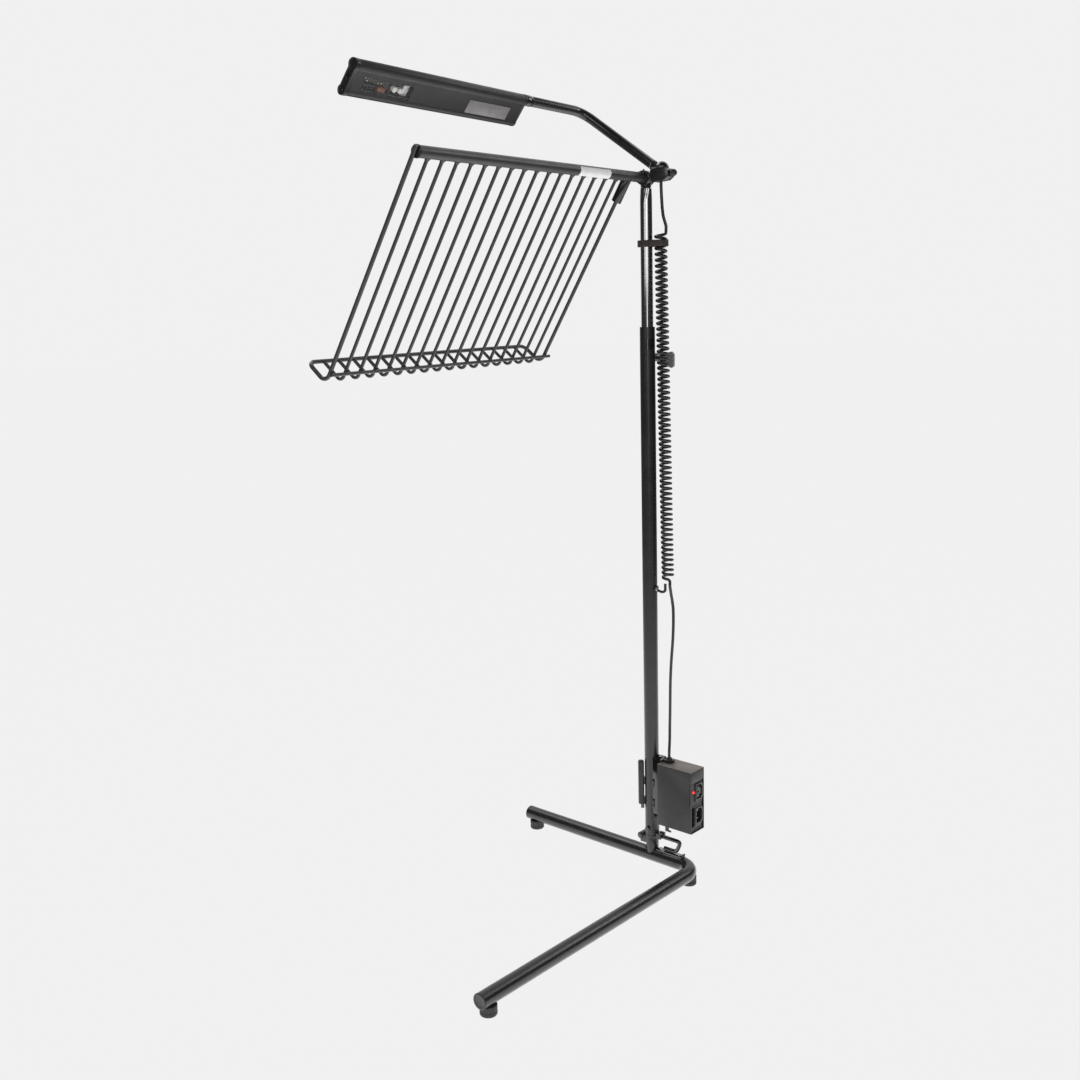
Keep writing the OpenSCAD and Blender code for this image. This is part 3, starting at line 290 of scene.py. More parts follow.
def blank_finish(name, colour, roughness, metallic=0.0):
    finish = bpy.data.materials.new(name)
    finish.use_nodes = True
    shader = finish.node_tree.nodes["Principled BSDF"]
    shader.inputs["Base Color"].default_value = (*colour, 1)
    shader.inputs["Roughness"].default_value = roughness
    shader.inputs["Metallic"].default_value = metallic
    finish.diffuse_color = (*colour, 1)
    return finish, finish.node_tree, shader


def grain(tree, scale, detail=3.0, stretch=None):
    """Noise on the object's own coordinates, with its scale per metre."""
    place = tree.nodes.new("ShaderNodeTexCoord")
    noise = tree.nodes.new("ShaderNodeTexNoise")
    noise.inputs["Scale"].default_value = scale
    noise.inputs["Detail"].default_value = detail
    source = place.outputs["Object"]
    if stretch:
        mapping = tree.nodes.new("ShaderNodeMapping")
        mapping.inputs["Scale"].default_value = stretch
        tree.links.new(source, mapping.inputs["Vector"])
        source = mapping.outputs["Vector"]
    tree.links.new(source, noise.inputs["Vector"])
    return noise.outputs["Fac"]


def shade_by(tree, shader, factor, dark, light, low=NOISE_LOW, high=NOISE_HIGH):
    """Base colour that goes from dark to light with the factor."""
    ramp = tree.nodes.new("ShaderNodeValToRGB")
    ramp.color_ramp.elements[0].position = low
    ramp.color_ramp.elements[0].color = (*dark, 1)
    ramp.color_ramp.elements[1].position = high
    ramp.color_ramp.elements[1].color = (*light, 1)
    tree.links.new(factor, ramp.inputs["Fac"])
    tree.links.new(ramp.outputs["Color"], shader.inputs["Base Color"])


def eased_step(tree, value, low, high, at_low, at_high):
    """Smooth step of a value between two levels."""
    step = tree.nodes.new("ShaderNodeMapRange")
    step.interpolation_type = "SMOOTHSTEP"
    for socket, number in (("From Min", low), ("From Max", high), ("To Min", at_low), ("To Max", at_high)):
        step.inputs[socket].default_value = number
    tree.links.new(value, step.inputs["Value"])
    return step.outputs["Result"]


def rough_by(tree, shader, factor, low, high):
    """Roughness that goes from low to high with the factor."""
    spread = tree.nodes.new("ShaderNodeMapRange")
    spread.inputs["From Min"].default_value = NOISE_LOW
    spread.inputs["From Max"].default_value = NOISE_HIGH
    spread.inputs["To Min"].default_value = low
    spread.inputs["To Max"].default_value = high
    tree.links.new(factor, spread.inputs["Value"])
    tree.links.new(spread.outputs["Result"], shader.inputs["Roughness"])


def raise_by(tree, shader, factor, height):
    """Bump of that height in millimetres."""
    bump = tree.nodes.new("ShaderNodeBump")
    bump.inputs["Strength"].default_value = 1.0
    bump.inputs["Distance"].default_value = height * MM
    tree.links.new(factor, bump.inputs["Height"])
    tree.links.new(bump.outputs["Normal"], shader.inputs["Normal"])


def powder_coat(name, dark, light, low, high, peel=0.03):
    """Baked coat with its fine orange peel, a little uneven."""
    finish, tree, shader = blank_finish(name, light, low)
    shade_by(tree, shader, grain(tree, 14, 5), dark, light)
    rough_by(tree, shader, grain(tree, 55, 4), low, high)
    raise_by(tree, shader, grain(tree, 900, 2), peel)
    return finish


# The box's top face, in millimetres over the floor, the tone of the painted highlight that makes that face
# paler, and the height over which it fades in
BOX_TOP_FACE = 205.6
BOX_TOP_PAINTED_HIGHLIGHT = (0.20, 0.18, 0.165, 1)
BOX_TOP_EDGE = 0.1


def box_coat_painted_top_highlight(name):
    """Satin coat of the power box, with a painted highlight that makes its top face paler."""
    finish = powder_coat(name, (0.009, 0.0078, 0.0088), (0.013, 0.0112, 0.0126), 0.52, 0.6, 0.012)
    tree = finish.node_tree
    shader = tree.nodes["Principled BSDF"]
    coat = shader.inputs["Base Color"].links[0].from_socket
    look = tree.nodes.new("ShaderNodeTexCoord")
    parts = tree.nodes.new("ShaderNodeSeparateXYZ")
    tree.links.new(look.outputs["Object"], parts.inputs[0])
    top = BOX_TOP_FACE * MM
    # Mask of the top face, which gets the painted highlight
    height = eased_step(tree, parts.outputs["Z"], top - BOX_TOP_EDGE * MM, top, 0.0, 1.0)
    both = tree.nodes.new("ShaderNodeMix")
    both.data_type = "RGBA"
    both.inputs["B"].default_value = BOX_TOP_PAINTED_HIGHLIGHT
    tree.links.new(height, both.inputs["Factor"])
    tree.links.new(coat, both.inputs["A"])
    tree.links.new(both.outputs["Result"], shader.inputs["Base Color"])
    return finish


def plated_tube(name):
    """Polished dark plating, with faint draw marks along the tube."""
    finish, tree, shader = blank_finish(name, (0.40, 0.40, 0.41), 0.1, 1.0)
    shade_by(tree, shader, grain(tree, 9, 4), (0.36, 0.36, 0.37), (0.44, 0.44, 0.45))
    rough_by(tree, shader, grain(tree, 260, 3, (1, 1, 0.03)), 0.08, 0.15)
    raise_by(tree, shader, grain(tree, 500, 2, (1, 1, 0.02)), 0.002)
    return finish


def lacquer(name, colour, low, high):
    """Deep glossy coat with a faint ripple."""
    finish, tree, shader = blank_finish(name, colour, low)
    dark, light = (tuple(share * c for c in colour) for share in (0.7, 1.3))
    shade_by(tree, shader, grain(tree, 25, 4), dark, light)
    rough_by(tree, shader, grain(tree, 90, 3), low, high)
    raise_by(tree, shader, grain(tree, 300, 2), 0.006)
    shader.inputs["Coat Weight"].default_value = 0.4
    shader.inputs["Coat Roughness"].default_value = 0.08
    return finish


def moulded(name, dark, light, low, high, texture=0.02, grain_scale=1600):
    """Moulded plastic or rubber with a fine spark-eroded grain."""
    finish, tree, shader = blank_finish(name, light, low)
    shade_by(tree, shader, grain(tree, 30, 4), dark, light)
    rough_by(tree, shader, grain(tree, 120, 3), low, high)
    raise_by(tree, shader, grain(tree, grain_scale, 2), texture)
    return finish


def zinc_plating(name):
    finish, tree, shader = blank_finish(name, (0.5, 0.5, 0.48), 0.3, 1.0)
    shade_by(tree, shader, grain(tree, 240, 3), (0.36, 0.36, 0.35), (0.6, 0.6, 0.57))
    rough_by(tree, shader, grain(tree, 500, 3), 0.22, 0.42)
    raise_by(tree, shader, grain(tree, 1400, 2), 0.01)
    return finish


def cord_sheath(name):
    """Satin flexible sheath, finely wiped along its length."""
    finish, tree, shader = blank_finish(name, (0.010, 0.010, 0.011), 0.3)
    shade_by(tree, shader, grain(tree, 60, 3), (0.007, 0.007, 0.0075), (0.014, 0.014, 0.015))
    rough_by(tree, shader, grain(tree, 300, 3), 0.22, 0.34)
    raise_by(tree, shader, grain(tree, 1100, 2), 0.02)
    return finish


def bare_label(name, dark, light, roughness):
    """Unprinted label, slightly soiled, with a soft paper fibre."""
    finish, tree, shader = blank_finish(name, light, roughness)
    shade_by(tree, shader, grain(tree, 70, 5), dark, light, 0.25, 0.6)
    rough_by(tree, shader, grain(tree, 200, 3), roughness - 0.08, roughness + 0.08)
    raise_by(tree, shader, grain(tree, 700, 4), 0.01)
    return finish


def clear_window(name):
    finish, tree, shader = blank_finish(name, (0.30, 0.31, 0.32), 0.08)
    rough_by(tree, shader, grain(tree, 120, 3), 0.05, 0.14)
    shader.inputs["Alpha"].default_value = 0.07
    return finish


def frosted(name):
    finish, tree, shader = blank_finish(name, (0.86, 0.86, 0.84), 0.5)
    shade_by(tree, shader, grain(tree, 40, 3), (0.8, 0.8, 0.78), (0.9, 0.9, 0.88))
    raise_by(tree, shader, grain(tree, 900, 2), 0.02)
    shader.inputs["Subsurface Weight"].default_value = 0.3
    shader.inputs["Subsurface Radius"].default_value = (0.004, 0.004, 0.004)
    return finish


def red_lens(name):
    finish, tree, shader = blank_finish(name, (0.85, 0.04, 0.02), 0.12)
    shade_by(tree, shader, grain(tree, 350, 2), (0.7, 0.02, 0.01), (0.9, 0.07, 0.035))
    shader.inputs["Emission Color"].default_value = (1.0, 0.06, 0.03, 1)
    shader.inputs["Emission Strength"].default_value = 0.7
    shader.inputs["Coat Weight"].default_value = 0.6
    return finish


def make_finishes():
    """The finish of each of the record's slots."""
    return {
        "grey_coat": powder_coat(
            "satin_powder_coat", (0.011, 0.0105, 0.0115), (0.017, 0.016, 0.0175), 0.24, 0.33, 0.01
        ),
        "plated_tube": plated_tube("polished_plating"),
        "black_plastic": moulded(
            "black_moulding", (0.007, 0.007, 0.0075), (0.013, 0.013, 0.0135), 0.34, 0.48
        ),
        "black_gloss": lacquer("black_lacquer", (0.006, 0.006, 0.0065), 0.12, 0.22),
        "rubber": moulded("foot_rubber", (0.014, 0.014, 0.014), (0.026, 0.025, 0.025), 0.62, 0.8, 0.05, 1100),
        "zinc": zinc_plating("zinc_plating"),
        "light_grey": moulded("grey_moulding", (0.17, 0.17, 0.175), (0.24, 0.24, 0.245), 0.38, 0.5),
        "strap": moulded("strap_rubber", (0.022, 0.014, 0.012), (0.040, 0.027, 0.023), 0.5, 0.66, 0.05, 900),
        "cord": cord_sheath("cord_sheath"),
        "label_white": bare_label("bare_paper_label", (0.86, 0.86, 0.86), (0.95, 0.95, 0.95), 0.5),
        "plate_silver": bare_label("bare_plate", (0.20, 0.185, 0.19), (0.27, 0.25, 0.255), 0.34),
        "clear": clear_window("clear_window"),
        "diffuser": frosted("frosted_diffuser"),
        "led_board": moulded("white_board", (0.82, 0.82, 0.80), (0.92, 0.92, 0.90), 0.25, 0.35),
        "circuit_board": moulded("circuit_board", (0.018, 0.014, 0.012), (0.045, 0.036, 0.030), 0.25, 0.4),
        "coils": moulded("varnished_copper", (0.16, 0.05, 0.018), (0.34, 0.12, 0.045), 0.25, 0.4, 0.08, 500),
        "red_lens": red_lens("red_lens"),
    }


FINISH = make_finishes()
# Coat of the power box, with a painted highlight on its top face
BOX_COAT_PAINTED_TOP_HIGHLIGHT = box_coat_painted_top_highlight("box_coat_painted_top_highlight")
LAMP_COAT = powder_coat("lamp_coat", (0.022, 0.0205, 0.0225), (0.030, 0.028, 0.0305), 0.40, 0.50, 0.02)
ARM_COAT = lacquer("arm_lacquer", (0.016, 0.015, 0.016), 0.24, 0.32)
DESK_COAT = powder_coat("desk_coat", (0.032, 0.030, 0.0325), (0.044, 0.041, 0.0445), 0.34, 0.44, 0.02)
CAP_MOULDING = moulded("cap_moulding", (0.008, 0.008, 0.0085), (0.014, 0.014, 0.0145), 0.30, 0.42)


# Cords
CORD_D = 5
CURL_D = 21.4
CURLS = 63.7
CURL_SIDE = 107
CURL_BOTTOM = (32.3, 531)
CURL_TOP = (24.2, 1097.5)
CURL_BOTTOM_ANGLE = 25
# Turn from the curls into a straight end, and that end's length
CURL_EXIT_R = 5
CURL_EXIT_LEN = 2
# Degrees from ring to ring in that turn, and rings in the straight end
CURL_EXIT_STEP = 15
CURL_EXIT_RINGS = 3
# How much wider apart the curls get towards the top
CURL_SPREAD = 0.04
RINGS_PER_CURL = 26
# Routes of the two plain leads, from the top down
HEAD_LEAD = [
    (-2.8, 28.1, 1179), (-2.8, 28.1, 1171), (-3.1, 28.5, 1156), (-4, 28.8, 1141), (-4.9, 29.1, 1132),
    (-6.1, 29.6, 1124), (-7.8, 31.1, 1116), (-9, 32.6, 1109), (-9, 32.6, 1104.5),
]
BOX_LEAD = [
    (-4.1, 38.9, 524), (-4.1, 38.9, 519), (-7.5, 38.6, 505), (-10.5, 38.8, 492),
    (-12, 39.5, 478), (-12.2, 39.7, 462), (-12, 39.5, 445), (-11.7, 38.3, 420),
    (-11, 36.4, 395), (-10.6, 34.8, 370), (-10.3, 33.8, 345), (-10.2, 33.3, 320),
    (-10, 33, 295), (-9, 33, 270), (-6.5, 34.3, 245), (-3.4, 35.4, 226),
    (-3, 35.5, 215), (-3, 35.5, 204),
]


def smooth_route(route, steps=6):
    """Smooth curve through the route's points."""
    pts = [Vector(p) for p in route]
    ends = [2 * pts[0] - pts[1]] + pts + [2 * pts[-1] - pts[-2]]
    path = []
    for a, b, c, d in zip(ends, ends[1:], ends[2:], ends[3:]):
        for k in range(steps):
            t = k / steps
            path.append(0.5 * (
                2 * b + (c - a) * t + (2 * a - 5 * b + 4 * c - d) * t * t + (3 * b - a - 3 * c + d) * t ** 3
            ))
    return path + [pts[-1]]


def curl_angle(t):
    return math.radians(CURL_BOTTOM_ANGLE - 360 * CURLS * t)


def curl_point(t):
    side = math.radians(CURL_SIDE)
    out = CURL_BOTTOM[0] + (CURL_TOP[0] - CURL_BOTTOM[0]) * t
    height = CURL_BOTTOM[1] + (CURL_TOP[1] - CURL_BOTTOM[1]) * t * (1 - CURL_SPREAD + CURL_SPREAD * t)
    r = (CURL_D - CORD_D) / 2
    a = curl_angle(t)
    return Vector((
        out * math.cos(side) + r * math.cos(a), out * math.sin(side) + r * math.sin(a), height
    ))


def curl_exit(t, side):
    """Quarter turn from the curls into the vertical: side is 1 at the top and -1 at the bottom."""
    a = curl_angle(t)
    along = side * Vector((math.sin(a), -math.cos(a), 0))
    p = curl_point(t)
    r = CURL_EXIT_R
    bend = [
        p + r * math.sin(math.radians(b)) * along + Vector((0, 0, side * r * (1 - math.cos(math.radians(b)))))
        for b in range(CURL_EXIT_STEP, 91, CURL_EXIT_STEP)
    ]
    last = bend[-1]
    straight = [
        last + Vector((0, 0, side * CURL_EXIT_LEN * k / CURL_EXIT_RINGS))
        for k in range(1, CURL_EXIT_RINGS + 1)
    ]
    return bend + straight


def curly_path():
    """Middle line of the curly cord, from its lower end up."""
    count = round(RINGS_PER_CURL * CURLS)
    rings = [curl_point(i / count) for i in range(count + 1)]
    return list(reversed(curl_exit(0, -1))) + rings + curl_exit(1, 1)


def in_frame(path):
    return [AT_MAST @ p for p in path]


def tube_along(name, path, d):
    """Round tube along a path."""
    curve = bpy.data.curves.new(name, "CURVE")
    curve.dimensions = "3D"
    curve.bevel_depth = d / 2
    curve.bevel_resolution = 4
    curve.use_fill_caps = True
    line = curve.splines.new("POLY")
    line.points.add(len(path) - 1)
    for point, place in zip(line.points, path):
        point.co = (*place, 1)
    piece = bpy.data.objects.new(name, curve)
    bpy.context.scene.collection.objects.link(piece)
    pick(piece)
    bpy.ops.object.convert(target="MESH")
    piece = bpy.context.active_object
    bpy.ops.object.shade_smooth_by_angle(angle=math.radians(60))
    return piece


def cord_mesh(name, path):
    """Tube of the cord's diameter along a path in metres."""
    piece = tube_along(name, path, CORD_D * MM)
    piece.data.materials.clear()
    piece.data.materials.append(FINISH["cord"])
    return piece


def make_lead(name, node, body, route):
    """Straight-hanging lead, drawn from where it leaves its piece."""
    path = in_frame(smooth_route(route))
    lead = cord_mesh(name, path)
    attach(lead, body)
    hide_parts(node)


def make_curly_cord():
    path = in_frame(curly_path())
    curly = cord_mesh("curly_lead", path)
    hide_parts("curly_cord")
    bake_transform(curly)


def make_cords():
    make_lead("lead_at_head", "head_lead", "head", HEAD_LEAD)
    make_curly_cord()
    make_lead("lead_at_box", "box_lead", "lower_mast", BOX_LEAD)


# Studio, in metres
FLOOR_SIZE = 40
FLOOR_DROP = 0.0004
# The floor's brightness: what the camera sees, and what reflections see near the stand and further out
FLOOR_SEEN = 0.872
FLOOR_NEAR = 1.7
FLOOR_FAR = 0.12
# Distances from the stand between which that falls
FLOOR_NEAR_TO, FLOOR_FAR_FROM = 0.5, 3.0
WALL_SEEN = 0.875
WALL_LIGHT = 0.95
ROOM_LIGHT = 0.05
# Level directions across the view and away from the camera
ACROSS_VIEW = (-0.667, 0.745, 0)
DOWN_VIEW = (-0.741, -0.671, 0)
# Soft lights: name, place, what they are turned to, size and watts
LIGHTS = [
    ("top_light", (0.2, -1.6, 2.9), (0.0, -0.2, 0.3), (1.6, 1.4), 25),
    ("window_light", (2.59, 0.23, 1.75), (0.0, -0.1, 1.1), (1.8, 1.4), 16),
    ("camera_side_light", (2.03, 2.6, 1.75), (0.0, -0.1, 1.1), (1.6, 1.4), 12),
    ("front_light", (2.08, 1.56, 1.15), (0.0, -0.1, 0.7), (0.7, 1.2), 6),
    ("right_light", (-2.1, 1.5, 2.2), (0.1, -0.1, 0.7), (1.0, 1.2), 15),
]


def make_floor():
    """Pale sheet that is lit near the stand and falls dark further out, where only reflections see it."""
    deselect()
    bpy.ops.mesh.primitive_plane_add(size=FLOOR_SIZE, location=(0, 0, -FLOOR_DROP))
    floor = named("studio_floor")
    finish, tree, shader = blank_finish("pale_floor", (0.004, 0.004, 0.004), 1.0)
    shader.inputs["Specular IOR Level"].default_value = 0.0
    shader.inputs["Emission Color"].default_value = (1, 1, 1, 1)
    place = tree.nodes.new("ShaderNodeTexCoord")
    reach = tree.nodes.new("ShaderNodeVectorMath")
    reach.operation = "LENGTH"
    rays = tree.nodes.new("ShaderNodeLightPath")
    level = tree.nodes.new("ShaderNodeMix")
    level.data_type = "FLOAT"
    level.inputs["B"].default_value = FLOOR_SEEN
    tree.links.new(place.outputs["Object"], reach.inputs[0])
    fall = eased_step(tree, reach.outputs["Value"], FLOOR_NEAR_TO, FLOOR_FAR_FROM, FLOOR_NEAR, FLOOR_FAR)
    tree.links.new(rays.outputs["Is Camera Ray"], level.inputs["Factor"])
    tree.links.new(fall, level.inputs["A"])
    tree.links.new(level.outputs["Result"], shader.inputs["Emission Strength"])
    floor.data.materials.append(finish)


def soft_light(name, place, aim, size, power):
    data = bpy.data.lights.new(name, "AREA")
    data.shape = "RECTANGLE"
    data.size, data.size_y = size
    data.energy = power
    lamp = bpy.data.objects.new(name, data)
    bpy.context.scene.collection.objects.link(lamp)
    lamp.location = place
    lamp.rotation_euler = (Vector(aim) - Vector(place)).to_track_quat("-Z", "Y").to_euler()


def wall_behind(tree):
    """Brightness of the room: a pale wall behind the stand and over it, and dark sides."""
    look = tree.nodes.new("ShaderNodeTexCoord")

    def along(direction):
        part = tree.nodes.new("ShaderNodeVectorMath")
        part.operation = "DOT_PRODUCT"
        part.inputs[1].default_value = direction
        tree.links.new(look.outputs["Generated"], part.inputs[0])
        return part.outputs["Value"]

    def joint(operation, a, b):
        both = tree.nodes.new("ShaderNodeMath")
        both.operation = operation
        for socket, value in zip(both.inputs, (a, b)):
            if isinstance(value, float):
                socket.default_value = value
            else:
                tree.links.new(value, socket)
        return both.outputs["Value"]

    across = joint("ABSOLUTE", along(ACROSS_VIEW), 0.0)
    width = eased_step(tree, across, 0.55, 0.85, 1.0, 0.0)
    behind = eased_step(tree, along(DOWN_VIEW), 0.15, 0.28, 0.0, 1.0)
    wall = joint("MULTIPLY", joint("MULTIPLY", width, behind), WALL_LIGHT)
    return joint("ADD", wall, ROOM_LIGHT)


def make_studio():
    world = bpy.data.worlds.new("studio")
    bpy.context.scene.world = world
    world.use_nodes = True
    tree = world.node_tree
    seen, lit = tree.nodes["Background"], tree.nodes.new("ShaderNodeBackground")
    seen.inputs["Color"].default_value = (WALL_SEEN, WALL_SEEN, WALL_SEEN, 1)
    lit.inputs["Color"].default_value = (1, 1, 1, 1)
    tree.links.new(wall_behind(tree), lit.inputs["Strength"])
    rays = tree.nodes.new("ShaderNodeLightPath")
    both = tree.nodes.new("ShaderNodeMixShader")
    tree.links.new(rays.outputs["Is Camera Ray"], both.inputs["Fac"])
    tree.links.new(lit.outputs["Background"], both.inputs[1])
    tree.links.new(seen.outputs["Background"], both.inputs[2])
    tree.links.new(both.outputs["Shader"], tree.nodes["World Output"].inputs["Surface"])
    for light in LIGHTS:
        soft_light(*light)
    scene = bpy.context.scene
    scene.view_settings.view_transform = "Standard"
    scene.view_settings.look = "None"


# Base
FOOT_PLACES = [(10, 85, 0), (517, 95, 0), (0, -277, 0)]
FRONT_LEG_END = (533, 95, 27)
BACK_LEG_END = (0, -293, 27)


def make_feet():
    """Turned rubber feet, with the groove that each one has round it."""
    steps = [
        (4, 1.4), (8, 0.8), (11.2, 0), (12.2, 0.4), (13, 2), (13, 6.4), (12.5, 6.8),
        (12.5, 7.8), (13, 8.2), (13, 15.6), (12.2, 16.5),
    ]
    first = soften(turned("foot", steps), 0.25)
    feet = [copied(first, Matrix.Translation(p)) for p in FOOT_PLACES]
    bpy.data.objects.remove(first)
    settle(joined("feet", feet), AT_MAST, "base", "rubber", "rubber_feet")


def make_leg_plugs():
    """Plugs in the two ends of the base tube."""
    steps = [
        (10.6, -12), (10.9, -11), (10.9, 0), (12.5, 0), (12.5, 1.0), (11.8, 1.9), (9.2, 2.0), (8.8, 1.5),
    ]
    first = soften(turned("plug", steps), 0.15)
    front = copied(first, Matrix.Translation(FRONT_LEG_END) @ turn(90, "Y"))
    back = copied(first, Matrix.Translation(BACK_LEG_END) @ turn(90, "X"))
    bpy.data.objects.remove(first)
    settle(joined("leg_plugs", [front, back]), AT_MAST, "base", "black_plastic", "base_end_plugs")


# Half the width of a screw's cross recess
RECESS_HALF = 0.35


def cross_screw(name, head_d, head_h, shank_d, shank_len):
    """Pan-head screw with a cross recess, its head along +Z."""
    r = head_d / 2
    steps = [
        (shank_d / 2, -shank_len), (shank_d / 2, 0), (r, 0), (r, head_h * 0.45),
        (r * 0.86, head_h * 0.8), (r * 0.5, head_h),
    ]
    screw = soften(turned(name, steps, 32), 0.12)
    arm, depth = r * 0.55, head_h * 0.5
    for x, y in ((arm, RECESS_HALF), (RECESS_HALF, arm)):
        carve(screw, slab("cutter", (-x, -y, head_h - depth), (x, y, head_h + 1)))
    return screw


# Power box
BOX_X0 = -21.5
BOX_Y0, BOX_Y1 = 24, 95
BOX_Z0, BOX_Z1 = 95, 206
SCREW_INSET = 8
SCREW_FROM_SOCKETS = 28
SCREW_TURN = 20
LENS_PLACE = (9, 93.2, 169)


def make_cover_screws():
    """Screws of the side cover, each one turned a little further than the last."""
    first = cross_screw("cover_screw", 6, 2, 3, 6)
    places = [
        (y, z)
        for y in (BOX_Y0 + SCREW_INSET, BOX_Y1 - SCREW_FROM_SOCKETS)
        for z in (BOX_Z0 + SCREW_INSET, BOX_Z1 - SCREW_INSET)
    ]
    screws = [
        copied(first, Matrix.Translation((BOX_X0, y, z)) @ turn(-90, "Y") @ turn(SCREW_TURN * i, "Z"))
        for i, (y, z) in enumerate(places)
    ]
    bpy.data.objects.remove(first)
    settle(joined("cover_screws", screws), AT_MAST, "lower_mast", "zinc", "box_screws")


def make_lens():
    """Domed red lens between the sockets and the box's front edge."""
    steps = [(2.4, -7), (2.4, 0.4), (2.5, 1.2), (2.35, 2.0), (1.9, 2.8), (1.2, 3.3), (0.5, 3.5)]
    lens = turned("lens", steps, 32)
    pick(lens)
    bpy.ops.object.shade_smooth_by_angle(angle=math.radians(50))
    settle(
        lens, AT_MAST @ Matrix.Translation(LENS_PLACE) @ turn(-90, "X"),
        "lower_mast", "red_lens", "indicator_lens",
    )


# Lamp, on the axes of the arm's end: X along the lamp, and Z up from the middle of its round upper edge
LOBE_R = 8
LIP_R = 6.7
LAMP_DROP = 37.5
PANEL_BACK = 5.2
PANEL_FRONT = 6
LAMP_START = 157
LAMP_END = 520.2
CAP_T = 8
TRIM_T = 5
WINDOW_LEN = 96.2
WINDOW_FROM_END = 18.2
WINDOW_X0 = LAMP_END - WINDOW_FROM_END - WINDOW_LEN
WINDOW_DEPTH = 1.8
WINDOW_SEAT = PANEL_FRONT - WINDOW_DEPTH
LAMP_WALL = 1.4
BOARD_GAP = 0.2
BOARD_T = 1.4
BUTTON_Z = -20
BUTTON_D = 7
# How far the cap and the trim stand over the housing, and the cap's rim, as wide as it is deep
CAP_OVER = 0.4
TRIM_OVER = 0.3
RIM = 1.6
SCREW_HOLE_Z = -4
SCREW_HOLE_D = 3.2
ARM_HOLE_D = 12.12


def arc(middle, r, start, end, count):
    """Points from one angle to another, in degrees, in the lamp's section."""
    return [
        (
            middle[0] + r * math.cos(math.radians(start + (end - start) * i / count)),
            middle[1] + r * math.sin(math.radians(start + (end - start) * i / count)),
        )
        for i in range(count + 1)
    ]


def lamp_section(grow):
    """Outline of the lamp, as (y, z) points: round upper edge, panel and lower lip."""
    top_r, lip_r = LOBE_R + grow, LIP_R + grow
    front, back = PANEL_FRONT + grow, PANEL_BACK + grow

    def meets(r, side):
        return math.degrees(math.acos(side / r))

    upper = arc((0, 0), top_r, -meets(top_r, front), 180 + meets(top_r, back), 30)
    lower = arc((0, -LAMP_DROP), lip_r, 180 - meets(lip_r, back), 360 + meets(lip_r, front), 26)
    return upper + lower


def make_end_cap():
    """Free end's cap with its rim, ridge, screw and switch hole, and the trim at the arm."""
    outside = LAMP_END + CAP_T
    cap = drawn_out("end_cap", lamp_section(CAP_OVER), LAMP_END, outside)
    edit(cap)
    bpy.ops.mesh.select_all(action="DESELECT")
    bpy.ops.object.mode_set(mode="OBJECT")
    for face in cap.data.polygons:
        face.select = face.normal.x > 0.9 and face.center.x > LAMP_END + CAP_T / 2
    bpy.ops.object.mode_set(mode="EDIT")
    bpy.ops.mesh.inset(thickness=RIM)
    bpy.ops.transform.translate(value=(-RIM, 0, 0))
    leave_edit()
    carve(cap, bar("hole", (LAMP_END - 3, 0, BUTTON_Z), (outside + 3, 0, BUTTON_Z), BUTTON_D + 0.4))
    carve(cap, bar("hole", (outside - 4, 0, SCREW_HOLE_Z), (outside + 3, 0, SCREW_HOLE_Z), SCREW_HOLE_D, 24))
    soften(cap, 0.6, 3, 40)
    ridge = soften(slab("ridge", (outside - 3, -4.9, -12.6), (outside - 0.4, 5.6, -11)), 0.35)
    ring = [(4.2, -2), (5.2, -2), (5.2, 0.6), (4.8, 1), (4.2, 1), (3.9, 0.6), (3.9, -2)]
    collar = soften(turned("button_ring", ring), 0.1)
    collar.data.transform(Matrix.Translation((outside - 1.7, 0, BUTTON_Z)) @ turn(90, "Y"))
    trim = drawn_out("trim", lamp_section(TRIM_OVER), LAMP_START, LAMP_START + TRIM_T)
    carve(trim, bar("hole", (LAMP_START - 3, 0, 0), (LAMP_START + TRIM_T + 3, 0, 0), ARM_HOLE_D))
    soften(trim, 0.5, 3, 40)
    caps = joined("lamp_caps", [cap, ridge, collar, trim])
    settle(caps, IN_LAMP, "lamp", "black_plastic", "lamp_end_caps", finish=CAP_MOULDING)
    screw = cross_screw("cap_screw", 5, 1.4, 2.5, 4)
    place = IN_LAMP @ Matrix.Translation((outside - RIM, 0, -LAMP_DROP)) @ turn(90, "Y")
    settle(screw, place, "lamp", "black_gloss")


# Places (x, z) behind the window, from its end nearer the arm
CAN_PLACES = [(31, -22.5), (19, -23)]
CHIP_PLACES = [(16, -16.5), (36, -31.5), (22, -32.2), (50, -18), (70, -32), (84, -32)]
JOINT_PLACES = [(89.4, -19.1), (82.9, -19.4), (61.4, -19.5), (55.7, -19.3), (87.5, -15.2), (78, -32)]


